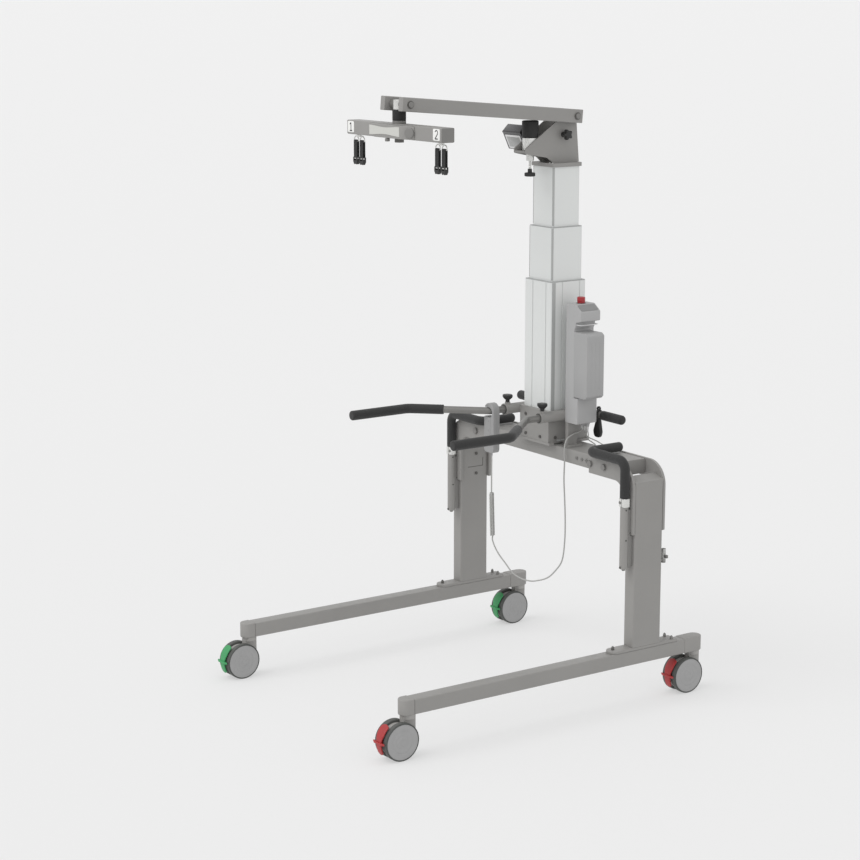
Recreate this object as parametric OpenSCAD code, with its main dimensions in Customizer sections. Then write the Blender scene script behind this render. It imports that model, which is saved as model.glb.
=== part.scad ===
// Body weight support frame on four braked casters: two long legs, two uprights and a cross beam
// carry a telescopic column, a hinged boom and a swivelling yoke with two pairs of hanging straps.
// X runs to the machine's right, the open end faces -Y, Z is up and the floor is Z = 0.

/* [Casters] */
// Diameter of a caster wheel
wheel_d = 125; // [110:1:140]
// Width over a pair of wheels
caster_w = 68; // [60:1:76]
// Width of one wheel
wheel_w = 21.5; // [18:0.5:23]
// Diameter of the plain wheel disc inside the tyre
disc_d = 107; // [90:1:108]
// Diameter of the wheel axle
axle_d = 10; // [8:0.5:14]
// Horizontal distance from the swivel axis to the axle
trail = 40; // [34:1:44]
// Diameter of the swivel stem
stem_d = 14; // [10:0.5:18]
// Length of the swivel stem inside the leg end cap
stem_len = 34; // [20:1:40]
// Diameter of the round boss under the leg end cap
boss_d = 45; // [36:1:48]
// Largest width of the brake pedal band
pedal_w = 38; // [30:1:44]
// Thickness of the brake pedal band
pedal_t = 6; // [4:0.5:8]
// Width of the tread tab across the pedal
tab_w = 71; // [60:1:76]

/* [Legs] */
// Distance between the front and rear caster axles
wheelbase = 1186; // [1150:1:1230]
// Distance between the centre planes of the two legs
track = 1002; // [980:1:1040]
// Height of the legs' underside
leg_z = 142; // [140:1:150]
// Outer size of the square leg tube
leg_tube = 50; // [46:1:54]
// Wall of the leg tube
leg_wall = 3; // [2:0.5:4]
// How far an end cap stands over the leg tube at its sides
cap_side = 1.5; // [1:0.5:3]
// How far an end cap stands over the leg tube at its top
cap_rise = 4; // [2:0.5:6]
// Distance from the swivel axis to the round nose of a cap
cap_nose = 32; // [30:1:36]
// Distance from the swivel axis to the tube end at the front
cap_back_front = 12; // [8:1:30]
// Distance from the swivel axis to the tube end at the rear
cap_back_rear = 55; // [40:1:60]

/* [Uprights and beam] */
// Distance of the uprights' and column's centre plane behind the middle of the wheelbase
mast_y = 406; // [396:1:412]
// Depth of the uprights and of the cross beam
mast_depth = 120; // [112:1:124]
// Width of an upright across the machine
upright_w = 50; // [46:1:54]
// Wall of the uprights and the cross beam
mast_wall = 4; // [3:0.5:5]
// Thickness of the base plates between legs and uprights
base_t = 10; // [8:1:12]
// Reach of a base plate in front of the mast's centre plane
base_front = 148; // [140:1:152]
// Reach of a base plate behind the mast's centre plane
base_rear = 139; // [130:1:144]
// Height of the cross beam's underside
beam_z = 776; // [770:1:790]
// Height of the cross beam section
beam_h = 50; // [46:1:54]
// Length of the cross beam
beam_len = 860; // [840:1:870]
// Thickness of the corner plates
corner_t = 10; // [8:1:12]
// Distance from the middle to a corner plate's inner end
corner_in = 287; // [280:1:300]
// Height of a corner plate's lower end
corner_low = 595; // [580:1:610]
// Outer corner radius of a corner plate
corner_r = 78; // [60:1:85]
// Inner fillet radius of a corner plate
fillet_r = 40; // [30:1:50]
// Shank diameter of the large bolts
bolt_d = 12; // [10:0.5:13]
// Shank diameter of the small bolts
screw_d = 6; // [5:0.5:8]

/* [Column] */
// Width of the fixed outer stage
col_w1 = 152; // [150:1:154]
// Width of the middle stage
col_w2 = 132; // [131:1:134]
// Width of the inner stage
col_w3 = 116; // [115:1:117]
// Length of the fixed outer stage
col_len = 558; // [550:1:580]
// How far the middle stage stands out of the outer one
rise2 = 186; // [184:1:200]
// How far the inner stage stands out of the middle one
rise3 = 207; // [206:1:220]
// Depth of the middle stage inside the outer one
hidden2 = 370; // [360:1:380]
// Depth of the inner stage inside the middle one
hidden3 = 375; // [365:1:385]
// Running gap between the column stages
stage_gap = 0.4; // [0.3:0.1:0.8]
// Wall of the inner stage
inner_wall = 5; // [4:0.5:8]

/* [Foot bracket and sockets] */
// Thickness of the plate under the column
foot_t = 9; // [8:1:12]
// Height of the bracket's walls
bracket_h = 111; // [100:1:120]
// Wall of the bracket at the column's sides
bracket_side = 5.7; // [4:0.1:8]
// Wall of the bracket at the column's front and back
bracket_front = 9.7; // [8:0.1:12]
// Height of the handlebar and rear handle axes
bar_z = 932; // [930:1:936]
// Outer diameter of a handlebar socket
socket_d = 36; // [34:1:38]
// Length of a handlebar socket
socket_len = 116; // [110:1:118]
// Distance from the column's centre plane to a socket's front end
socket_front = 144; // [142:1:150]

/* [Handlebars and handles] */
// Diameter of the bare handle tubes
bar_d = 25; // [22:0.5:25]
// Wall of the handle tubes
bar_wall = 2.5; // [2:0.5:3]
// Diameter of the front handlebar grips
bar_grip_d = 34; // [32:0.5:36]
// Sideways distance from the middle to a front grip
bar_out_x = 304; // [296:1:310]
// Distance from the column's centre plane to the first bend
bend1_back = 197; // [194:1:200]
// Distance from the column's centre plane to the second bend
bend2_back = 414; // [405:1:425]
// Distance from the column's centre plane to the front end of a grip
bar_end_back = 647; // [630:1:660]
// Travel of a handlebar out of its socket
bar_travel = 50; // [40:1:55]
// Half length of the rear handles from the middle to the end
rear_end_x = 296; // [280:1:310]
// Diameter of the rear grips
rear_grip_d = 33; // [31:0.5:35]
// Distance from the middle to a rear grip's inner end
rear_grip_x = 186; // [180:1:190]
// Diameter of the push handle grips
push_grip_d = 33; // [31:0.5:33]
// Diameter of the push handle tubes
push_d = 22; // [20:0.5:22]
// Height of the push handles' upper axis
push_z = 846; // [846:1:852]
// Distance from the middle to a push handle's inner corner
push_in_x = 308; // [300:1:316]
// Distance of the push handles' ends behind the mast's front face
push_end = 100; // [90:1:110]
// Upward travel of the push handles
push_travel = 100; // [80:5:120]

/* [Handle sleeves] */
// Width of a sleeve across the machine
sleeve_w = 28; // [27:1:30]
// Depth of a sleeve
sleeve_depth = 28; // [27:1:29]
// Height of a sleeve's lower end
sleeve_low = 478; // [470:1:490]
// Height of a sleeve's upper end
sleeve_top = 691; // [676:1:695]
// Height of the clamp on a sleeve
clamp_h = 30; // [26:1:31]

/* [Boom and head] */
// Thickness of the head's base flange
flange_t = 13; // [10:1:15]
// Width of the head's base flange
flange_w = 127; // [124:1:131]
// Thickness of the head's side plates
head_t = 6; // [5:0.5:6.5]
// Half width over the head's side plates
head_half = 34; // [33:0.5:35]
// Height of the boom pivot above the head's base flange
pivot_up = 157; // [150:1:160]
// Distance of the boom pivot behind the column's centre plane
pivot_back = 36.7; // [34:0.1:38]
// Upward tilt of the boom towards its front end
boom_tilt = 4.87; // [4:0.01:5.5]
// Distance from the pivot to the yoke bolt along the boom
boom_reach = 689; // [670:1:700]
// Height of a boom side tube
boom_h = 46; // [44:1:48]
// Width of a boom side tube
boom_w = 25; // [22:1:28]
// Clear width between the boom's side tubes
boom_gap = 81.6; // [80:0.2:84]
// Diameter of the boom's two bolts
pin_d = 14; // [12:0.5:16]
// Diameter of the rubber bumper
bumper_d = 57; // [50:1:60]
// Distance of the bumper in front of the column's centre plane
bumper_front = 115; // [112:1:118]
// Diameter of the jack screw
jack_d = 9; // [8:0.5:12]

/* [Yoke] */
// Length of the yoke beam
yoke_len = 552; // [540:1:570]
// Depth of the yoke beam
yoke_depth = 50; // [46:1:54]
// Height of the yoke beam section
yoke_h = 47; // [44:1:48]
// Height of the yoke bolt above the top of the yoke beam
yoke_drop = 63; // [62:1:68]
// Diameter of the yoke's steel stem
neck_d = 40; // [36:1:42]
// Diameter of the bush and collar round the stem
bush_d = 45; // [44:1:48]
// Distance from a hanging point to the end of the yoke beam
hang_inset = 36; // [30:1:46]
// Distance between the two straps of a pair
strap_pitch = 37; // [35:1:40]
// Width of a strap
strap_w = 20; // [18:1:21]
// Thickness of a strap
strap_t = 4; // [3.5:0.5:5]
// Length of a strap loop above its buckle
strap_len = 52; // [46:1:60]

/* [Control unit and handset] */
// Left face of the control box
ctrl_x = 118; // [118:1:122]
// Depth of the control box
ctrl_depth = 85; // [80:1:90]
// Underside of the control box
ctrl_z = 911; // [905:1:920]
// Top of the control box
ctrl_top = 1326; // [1320:1:1340]
// Width of the lower box
low_w = 68; // [64:1:72]
// Width of the battery from the box's left face
batt_w = 117; // [110:1:122]
// Depth of the battery
batt_depth = 72; // [68:1:78]
// Diameter of the red stop button
stop_d = 28; // [26:1:32]
// Handset width
set_w = 56; // [52:1:60]
// Handset depth
set_depth = 28; // [26:1:30]
// Height of the handset's lower end
set_z = 784; // [775:1:790]

/* [Hidden] */
$fn = 64;

frame_grey = [0.56, 0.55, 0.54];
light_grey = [0.66, 0.66, 0.66];
silver = [0.80, 0.81, 0.82];
steel = [0.75, 0.75, 0.75];
black = [0.17, 0.17, 0.17];
red = [0.75, 0.22, 0.24];
green = [0.24, 0.60, 0.34];

// Gaps: a running fit on a round shaft, a small gap between parts that must not touch,
// a gap between still parts of one body, and the extra depth of every cut.
run = 0.08;
rest_gap = 0.3;
seat = 0.1;
eps = 1;
bend_over = 0.1;
bend_lap = 0.4;
end_lap = 1;

sides = [-1, 1];
axle_z = wheel_d / 2;
axle_y = wheelbase / 2;
stem_front = -axle_y + trail;
stem_rear = axle_y + trail;
leg_x = track / 2;
leg_top = leg_z + leg_tube;
base_z = leg_top + base_t;
mast_front = mast_y - mast_depth / 2;
mast_back = mast_y + mast_depth / 2;
beam_top = beam_z + beam_h;
upright_top = beam_z - 5;
cap_end = stem_rear + cap_nose;
pedal_gap = 2.5;
band_r = wheel_d / 2 + pedal_gap + pedal_t;
tab_out = 5;
tab_front = axle_y + band_r + tab_out;
// The part's origin lies on the floor below the middle of its box.
shift_y = (tab_front - cap_end) / 2;

module placed() translate([0, shift_y, 0]) children();

function unit(v) = v / norm(v);

// A round bar from a to b.
module rod(a, b, d) {
    v = b - a;
    translate(a)
        rotate([0, acos(v[2] / norm(v)), atan2(v[1], v[0])])
            cylinder(h = norm(v), d = d);
}

// A round elbow at corner p, from direction u to direction v, with centre line radius r.
module elbow(p, u, v, r, d) {
    turn = acos(u * v);
    n = unit(v - (u * v) * u);
    c = p - r * tan(turn / 2) * u + r * n;
    w = cross(-n, u);
    multmatrix([[-n[0], u[0], w[0], c[0]],
                [-n[1], u[1], w[1], c[1]],
                [-n[2], u[2], w[2], c[2]],
                [0, 0, 0, 1]])
        rotate_extrude(angle = turn, $fn = 2 * $fn) translate([r, 0]) circle(d = d, $fn = $fn / 2);
}

function set_back(pts, i, r) = i == 0 || i == len(pts) - 1 ? 0 :
    r * tan(acos(unit(pts[i] - pts[i - 1]) * unit(pts[i + 1] - pts[i])) / 2) - bend_lap;

// A round bar along a path, with its corners bent to centre line radius r. The bends are a
// little thicker than the straights, which reach into them.
module bent_rod(pts, r, d) {
    for (i = [0 : len(pts) - 2]) {
        u = unit(pts[i + 1] - pts[i]);
        rod(pts[i] + u * set_back(pts, i, r), pts[i + 1] - u * set_back(pts, i + 1, r), d);
    }
    for (i = [1 : len(pts) - 2])
        elbow(pts[i], unit(pts[i] - pts[i - 1]), unit(pts[i + 1] - pts[i]), r, d + bend_over);
}

// A round tube along a path, open at both ends.
module bent_tube(pts, r, d, bore) difference() {
    n = len(pts);
    bent_rod(pts, r, d);
    bent_rod(concat([pts[0] - eps * unit(pts[1] - pts[0])], [for (i = [1 : n - 2]) pts[i]],
        [pts[n - 1] + eps * unit(pts[n - 1] - pts[n - 2])]), r, bore);
}

// A path whose last point, which runs along dir times Y, stops short of the grip's closed end.
function shortened(pts, dir) = let(n = len(pts))
    concat([for (i = [0 : n - 2]) pts[i]], [pts[n - 1] - [0, dir * 2 * end_lap, 0]]);

// Mirrors a path to the side s.
function sided(pts, s) = [for (p = pts) [s * p[0], p[1], p[2]]];

// A square with rounded corners, centred.
module round_square(w, h, r) {
    square([w - 2 * r, h], center = true);
    square([w, h - 2 * r], center = true);
    for (x = sides, y = sides) translate([x * (w / 2 - r), y * (h / 2 - r)]) circle(r);
}

// A box given by its lowest and highest corners.
module span(lo, hi) translate(lo) cube(hi - lo);

// A flat outline in Y and Z, drawn across X from x0 to x1.
module across_x(x0, x1) translate([x0, 0, 0])
    rotate([90, 0, 90]) linear_extrude(x1 - x0) children();

// A flat outline in X and Z, drawn across Y from y0 to y1.
module across_y(y0, y1) translate([0, y1, 0])
    rotate([90, 0, 0]) linear_extrude(y1 - y0) children();

// Casters

cheek_w = caster_w - 2 * wheel_w - 1;
web_w = 7;
fork_r = 54;
eye_d = 26;
tyre_edge = 4;
axle_short = 4;
band_low = -33;
band_high = 56;

module caster_place(s, y_stem) placed() translate([s * leg_x, y_stem - trail, axle_z]) children();

// The swivelling body between the wheels, its boss, stem and axle.
module caster_fork(s, y_stem) color(frame_grey) caster_place(s, y_stem) {
    difference() {
        union() {
            rotate([0, 90, 0]) cylinder(h = cheek_w, r = fork_r, center = true);
            translate([-cheek_w / 2, trail - boss_d / 2, 0])
                cube([cheek_w, boss_d, leg_z - axle_z - rest_gap]);
            translate([0, trail, wheel_d / 2 + pedal_gap])
                cylinder(h = leg_z - axle_z - rest_gap - wheel_d / 2 - pedal_gap, d = boss_d);
            translate([0, trail, 0]) cylinder(h = leg_z - axle_z + stem_len, d = stem_d);
        }
        rotate([0, 90, 0]) cylinder(h = cheek_w + 2 * eps, r = axle_d / 2 + seat, center = true);
        // The slot that the pedal's web swings in.
        translate([-web_w / 2 - rest_gap, -fork_r - eps, -fork_r - eps])
            cube([web_w + 2 * rest_gap, fork_r + eps + eye_d / 2 + 2, fork_r + eps + eye_d / 2 + 2]);
    }
    rotate([0, 90, 0]) cylinder(h = caster_w - 2 * axle_short, d = axle_d, center = true);
}

// Two wheels: each a plain disc on the axle and a chamfered tyre round it.
module caster_wheels(s, y_stem) color([0.62, 0.62, 0.62]) caster_place(s, y_stem)
    for (side = sides) {
        wheel_in = caster_w / 2 - wheel_w;
        difference() {
            rotate([0, 90 * side, 0]) translate([0, 0, wheel_in]) cylinder(h = wheel_w, d = disc_d);
            rotate([0, 90 * side, 0]) translate([0, 0, wheel_in - eps])
                cylinder(h = wheel_w - axle_short + 0.5 + eps, d = axle_d + 2 * run);
        }
        rotate([0, 90 * side, 0]) translate([0, 0, wheel_in]) rotate_extrude()
            polygon([[disc_d / 2 + seat, 0], [wheel_d / 2 - tyre_edge, 0], [wheel_d / 2, tyre_edge],
                [wheel_d / 2, wheel_w - tyre_edge], [wheel_d / 2 - tyre_edge, wheel_w],
                [disc_d / 2 + seat, wheel_w]]);
    }

// A ring sector in Y and Z, from angle a0 to a1 above the forward direction.
module sector(r_in, r_out, a0, a1) {
    reach = 2 * r_out;
    difference() {
        circle(r_out);
        circle(r_in);
        polygon(concat([[0, 0]], [for (i = [0 : 6])
            let(a = a1 + (360 - a1 + a0) * i / 6) [-reach * cos(a), reach * sin(a)]]));
    }
}

// The brake pedal: a band round the front of the wheels, a cross tab and a web to the axle.
module caster_pedal(s, y_stem, tint) color(tint) caster_place(s, y_stem) {
    narrow = 0.7;
    difference() {
        union() {
            across_x(-pedal_w / 2, pedal_w / 2) sector(band_r - pedal_t, band_r, 20, band_high);
            across_x(-pedal_w * narrow / 2, pedal_w * narrow / 2)
                sector(band_r - pedal_t, band_r, band_low, 22);
            across_x(-web_w / 2, web_w / 2) union() {
                translate([-band_r + pedal_t / 2, -8]) square([band_r - pedal_t / 2, 16]);
                circle(d = eye_d);
            }
            translate([0, -band_r, 0]) linear_extrude(7) polygon([[-tab_w / 2, 3],
                [-tab_w / 4, -tab_out], [tab_w / 4, -tab_out], [tab_w / 2, 3],
                [tab_w / 3, pedal_t - 0.5], [-tab_w / 3, pedal_t - 0.5]]);
        }
        rotate([0, 90, 0]) cylinder(h = pedal_w, r = axle_d / 2 + run, center = true);
        // A short slot in the lower part of the band.
        rotate([24, 0, 0]) translate([-3, -band_r - eps, -5]) cube([6, pedal_t + 2 * eps, 10]);
    }
}

// Legs

plug_len = 20;
cap_r = leg_tube / 2 + cap_side;
bolt_clear = 0.4;
front_bolt_y = mast_y - 127;
rear_bolt_y = mast_y + 117;
rear_bolt_x = 18;
base_bolts = [for (s = sides) each [[s * leg_x, front_bolt_y],
    [s * leg_x - rear_bolt_x, rear_bolt_y], [s * leg_x + rear_bolt_x, rear_bolt_y]]];

module legs() color(frame_grey) placed() for (s = sides) translate([s * leg_x, 0, leg_z])
    difference() {
        span([-leg_tube / 2, stem_front + cap_back_front, 0],
            [leg_tube / 2, stem_rear - cap_back_rear, leg_tube]);
        span([-leg_tube / 2 + leg_wall, stem_front, leg_wall],
            [leg_tube / 2 - leg_wall, stem_rear, leg_tube - leg_wall]);
        for (b = base_bolts) translate([b[0] - s * leg_x, b[1], leg_tube / 2])
            cylinder(h = leg_tube, d = screw_d + 2 * bolt_clear);
    }

// One cap with a round nose; y_back is its flat end, dir points to the nose.
module leg_cap(y_stem, back, dir) difference() {
    plug = leg_tube / 2 - leg_wall - seat;
    union() {
        translate([0, y_stem, -seat]) linear_extrude(leg_tube + cap_rise + seat) intersection() {
            union() {
                translate([0, dir * (cap_nose - cap_r)]) circle(cap_r);
                translate([-cap_r, dir > 0 ? -back : -cap_nose + cap_r])
                    square([2 * cap_r, back + cap_nose - cap_r]);
            }
            translate([-cap_r - eps, dir > 0 ? -back : -cap_nose - eps])
                square([2 * cap_r + 2 * eps, back + cap_nose + eps]);
        }
        translate([-plug, dir > 0 ? y_stem - back - plug_len : y_stem + back, leg_wall + seat])
            cube([2 * plug, plug_len, leg_tube - 2 * leg_wall - 2 * seat]);
    }
    translate([0, y_stem, -eps]) cylinder(h = stem_len + 1 + eps, r = stem_d / 2 + run);
}

module leg_end_caps() color(frame_grey) placed() for (s = sides)
    translate([s * leg_x, 0, leg_z]) {
        leg_cap(stem_front, cap_back_front, -1);
        leg_cap(stem_rear, cap_back_rear, 1);
    }

module base_plates() color(frame_grey) placed() for (s = sides)
    difference() {
        nose_r = leg_tube / 2;
        translate([s * leg_x, mast_y, leg_top]) linear_extrude(base_t) union() {
            translate([0, nose_r - base_front]) circle(nose_r);
            translate([-nose_r, nose_r - base_front])
                square([2 * nose_r, base_rear + base_front - nose_r]);
        }
        for (b = base_bolts) translate([b[0], b[1], leg_top - eps])
            cylinder(h = base_t + 2 * eps, d = screw_d + 2 * bolt_clear);
    }

// Uprights, cross beam and corner plates

inner_bolt_y = mast_y + 8;
inner_bolts = [612, 687, 755];
corner_bolts = [296, 370];
beam_bolts = [210, 238, 262];
corner_bolt_z = beam_z + 24;
leg_bolt_z = [620, 700];
leg_bolt_x = leg_x - 6;

module bolt_holes_y(d) for (s = sides) {
    for (x = corner_bolts, y = [mast_front, mast_back]) translate([s * x, y, corner_bolt_z])
        rotate([90, 0, 0]) cylinder(h = 4 * corner_t, d = d, center = true);
    for (z = leg_bolt_z) translate([s * leg_bolt_x, mast_back, z])
        rotate([90, 0, 0]) cylinder(h = 4 * corner_t, d = d, center = true);
}

module uprights() color(frame_grey) placed() difference() {
    for (s = sides) translate([s * leg_x, mast_y, base_z]) difference() {
        span([-upright_w / 2, -mast_depth / 2, 0], [upright_w / 2, mast_depth / 2, upright_top - base_z]);
        span([-upright_w / 2 + mast_wall, -mast_depth / 2 + mast_wall, -eps],
            [upright_w / 2 - mast_wall, mast_depth / 2 - mast_wall, upright_top - base_z - mast_wall]);
    }
    bolt_holes_y(bolt_d + 2 * bolt_clear);
    for (s = sides, z = inner_bolts) translate([s * (leg_x - upright_w / 2), inner_bolt_y, z])
        rotate([0, 90, 0]) cylinder(h = 4 * mast_wall, d = screw_d + 2 * bolt_clear, center = true);
}

module crossbeam() color(frame_grey) placed() difference() {
    span([-beam_len / 2, mast_front, beam_z], [beam_len / 2, mast_back, beam_top]);
    span([-beam_len / 2 + mast_wall, mast_front + mast_wall, beam_z + mast_wall],
        [beam_len / 2 - mast_wall, mast_back - mast_wall, beam_top - mast_wall]);
    bolt_holes_y(bolt_d + 2 * bolt_clear);
    for (s = sides, x = beam_bolts) translate([s * x, mast_front, corner_bolt_z + 2])
        rotate([90, 0, 0]) cylinder(h = 4 * mast_wall, d = screw_d + 2 * bolt_clear, center = true);
}

corner_out = leg_x + upright_w / 2;
corner_v = leg_x - upright_w / 2 - corner_t;
corner_under = beam_z - corner_t;
corner_top = beam_top + 2;

module corner_outline() difference() {
    union() {
        translate([corner_in, corner_under])
            square([corner_out - corner_r - corner_in, corner_top - corner_under]);
        translate([corner_v, corner_low])
            square([corner_out - corner_v, corner_top - corner_r - corner_low]);
        translate([corner_out - corner_r, corner_top - corner_r]) circle(corner_r);
        translate([corner_v - fillet_r, corner_under - fillet_r])
            square([fillet_r + corner_out - corner_r - corner_v + 10, fillet_r + 10]);
    }
    translate([corner_v - fillet_r, corner_under - fillet_r]) circle(fillet_r);
}

module corner_plates() color(frame_grey) placed() difference() {
    for (s = [0, 1]) mirror([s, 0, 0]) {
        across_y(mast_front - corner_t, mast_front) corner_outline();
        across_y(mast_back, mast_back + corner_t) corner_outline();
    }
    bolt_holes_y(bolt_d + 2 * bolt_clear);
}

// A bolt whose hexagonal head sits on Z = 0 and whose shank points down.
module hex_bolt(d, len) {
    translate([0, 0, -len]) cylinder(h = len + d / 4, d = d);
    cylinder(h = d * 0.6, d = 1.9 * d, $fn = 6);
}

// A screw with a round head on Z = 0 and its shank down.
module round_screw(d, len) {
    translate([0, 0, -len]) cylinder(h = len + d / 4, d = d);
    difference() {
        cylinder(h = d * 0.5, d = 1.9 * d);
        translate([0, 0, d * 0.3]) cylinder(h = d, d = d * 0.9, $fn = 6);
    }
}

nut_rise = 2.2;

// A tall domed nut on a stud.
module dome_bolt(d, len) {
    hex_bolt(d, len);
    intersection() {
        scale([1, 1, nut_rise]) sphere(d = 1.7 * d + 2);
        cylinder(h = 3 * d, d = 1.7 * d);
    }
}

bracket_bolts = [[-48, 850], [-48, 919], [35, 850], [65, 918]];
bracket_side_bolt = [349, 851];

module frame_bolts() color([0.45, 0.45, 0.45]) placed() {
    for (b = base_bolts) translate([b[0], b[1], base_z]) dome_bolt(screw_d, base_t + leg_wall);
    for (s = sides) {
        for (x = corner_bolts) {
            translate([s * x, mast_front - corner_t, corner_bolt_z])
                rotate([90, 0, 0]) hex_bolt(bolt_d, corner_t + mast_wall);
            translate([s * x, mast_back + corner_t, corner_bolt_z])
                rotate([-90, 0, 0]) hex_bolt(bolt_d, corner_t + mast_wall);
        }
        for (z = leg_bolt_z) translate([s * leg_bolt_x, mast_back + corner_t, z])
            rotate([-90, 0, 0]) hex_bolt(bolt_d, corner_t + mast_wall);
        for (x = beam_bolts) translate([s * x, mast_front, corner_bolt_z + 2])
            rotate([90, 0, 0]) round_screw(screw_d, mast_wall);
        for (z = inner_bolts) translate([s * (leg_x - upright_w / 2), inner_bolt_y, z])
            rotate([0, -90 * s, 0]) round_screw(screw_d, mast_wall);
        translate([s * bracket_x, bracket_side_bolt[0], bracket_side_bolt[1]])
            rotate([0, 90 * s, 0]) round_screw(screw_d, bracket_side);
    }
    for (b = bracket_bolts) translate([b[0], bracket_y0, b[1]])
        rotate([90, 0, 0]) round_screw(screw_d, bracket_front);
    accessory_socket();
}

// A small socket with a side tab on the back of the right upright.
socket_up = 474;
socket_h = 48;
module accessory_socket() translate([leg_x, mast_back, socket_up]) {
    difference() {
        union() {
            translate([0, 28, 0]) cylinder(h = socket_h, d = 16);
            span([-6, 0, 8], [6, 22, 14]);
            span([-6, 0, 34], [6, 22, 40]);
            span([-12, 0, 4], [12, 4, 44]);
            span([0, 24, 18], [20, 32, 28]);
        }
        translate([0, 28, 6]) cylinder(h = socket_h, d = 10);
    }
}

// Column

foot_z = beam_top + foot_t;
col_top1 = foot_z + col_len;
col_top2 = col_top1 + rise2;
col_top3 = col_top2 + rise3;
corner_round = 8;
groove_w = 5;
groove_t = 2;
bracket_x = col_w1 / 2 + bracket_side + rest_gap;
bracket_y0 = mast_y - col_w1 / 2 - bracket_front - rest_gap;
bracket_y1 = mast_y + col_w1 / 2 + bracket_front + rest_gap;

// One square stage with rounded corners, grooves in every face and a square hollow.
module stage(w, hollow, z0, z1, grooves) translate([0, mast_y, z0]) linear_extrude(z1 - z0)
    difference() {
        round_square(w, w, corner_round);
        round_square(hollow, hollow, corner_round - 3);
        for (a = [0 : 90 : 270], x = grooves) rotate(a)
            translate([x * w / 2 - groove_w / 2, w / 2 - groove_t]) square([groove_w, groove_t + eps]);
    }

module column_outer() color(silver) placed()
    stage(col_w1, col_w2 + 2 * stage_gap, foot_z, col_top1, [-0.62, 0.36]);

module column_middle() color(silver) placed()
    stage(col_w2, col_w3 + 2 * stage_gap, col_top1 - hidden2, col_top2, []);

module column_inner() color(silver) placed()
    stage(col_w3, col_w3 - 2 * inner_wall, col_top2 - hidden3, col_top3, []);

// Foot bracket, sockets, rear handles

socket_x = bracket_x + socket_d / 2;
socket_y0 = mast_y - socket_front;
knob_y = socket_y0 + 16;
knob_stem_d = 10;
notch_y = mast_y - 50;
knob_z0 = bar_z + bar_d / 2 + rest_gap;
rear_y = bracket_y1 - bar_d / 2 - 2;

module column_bracket() color(frame_grey) placed() difference() {
    union() {
        span([-bracket_x, bracket_y0, foot_z], [bracket_x, bracket_y1, foot_z + bracket_h]);
        span([-bracket_x - 8, bracket_y0 - 2, beam_top], [bracket_x + 8, bracket_y1 + 2, foot_z]);
        for (s = sides) translate([s * socket_x, socket_y0, bar_z]) rotate([-90, 0, 0]) {
            cylinder(h = socket_len, d = socket_d);
            cylinder(h = 6, d = socket_d + 4);
        }
        // Webs that join the sockets to the bracket's sides.
        for (s = sides) translate([s * (bracket_x + socket_d / 4), 0, 0])
            span([-socket_d / 4 - 1, bracket_y0, bar_z - socket_d / 3],
                [socket_d / 4, socket_y0 + socket_len, bar_z + socket_d / 3]);
        for (s = sides) translate([s * socket_x, knob_y, bar_z]) cylinder(h = socket_d / 2 + 6, d = 20);
    }
    translate([0, mast_y, foot_z]) linear_extrude(bracket_h + eps)
        round_square(col_w1 + 2 * rest_gap, col_w1 + 2 * rest_gap, corner_round);
    for (s = sides) {
        translate([s * socket_x, socket_y0 - eps, bar_z]) rotate([-90, 0, 0])
            cylinder(h = socket_len + 2 * eps, r = bar_d / 2 + run);
        translate([s * socket_x, knob_y, bar_z])
            cylinder(h = socket_d, r = knob_stem_d / 2 + run);
        translate([s * bracket_x, bracket_side_bolt[0], bracket_side_bolt[1]]) rotate([0, 90, 0])
            cylinder(h = 4 * bracket_side, d = screw_d + 2 * bolt_clear, center = true);
    }
    for (b = bracket_bolts) translate([b[0], bracket_y0, b[1]]) rotate([90, 0, 0])
        cylinder(h = 4 * bracket_front, d = screw_d + 2 * bolt_clear, center = true);
    // Cable notch at the foot of the right wall.
    span([bracket_x - bracket_side - eps, notch_y, foot_z - eps + 1],
        [bracket_x + eps, notch_y + 50, foot_z + 8]);
}

module rear_handles() color(steel) placed() for (s = sides) difference() {
    rod([s * bracket_x, rear_y, bar_z], [s * (rear_end_x - 4), rear_y, bar_z], bar_d);
    rod([s * (bracket_x + 6), rear_y, bar_z], [s * rear_end_x, rear_y, bar_z], bar_d - 2 * bar_wall);
}

// A rubber sleeve with a domed end over a straight tube; the end points along +Z.
module sleeve_grip(len, d, bore) difference() {
    union() {
        cylinder(h = len - d / 3, d = d);
        translate([0, 0, len - d / 3]) cylinder(h = d / 3, d1 = d, d2 = d * 0.7);
    }
    translate([0, 0, -eps]) cylinder(h = len - 4 + eps, d = bore + 2 * seat);
}

module rear_grips() color(black) placed() for (s = sides)
    translate([s * rear_grip_x, rear_y, bar_z]) rotate([0, 90 * s, 0])
        sleeve_grip(rear_end_x - rear_grip_x, rear_grip_d, bar_d);

lever_x = 163;
lever_w = 14;

// A teardrop clamp lever on a collar round the right rear handle.
module clamp_lever() color(black) placed() translate([lever_x, rear_y, bar_z]) difference() {
    union() {
        rotate([0, 90, 0]) cylinder(h = lever_w, d = rear_grip_d, center = true);
        translate([0, 0, rear_grip_d / 2 + 4]) rotate([90, 0, 0])
            cylinder(h = 8, d = 17, center = true);
        across_y(-lever_w / 2, lever_w / 2) {
            translate([-7, -44]) square([14, 30]);
            translate([-3, -61]) circle(21);
            polygon([[-7, -14], [7, -14], [18, -61], [-24, -61]]);
        }
    }
    rotate([0, 90, 0]) cylinder(h = 100, r = bar_d / 2 + run, center = true);
    translate([0, 0, rear_grip_d / 2 + 5]) rotate([90, 0, 0]) cylinder(h = 20, d = 9, center = true);
}

// Control unit

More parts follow.
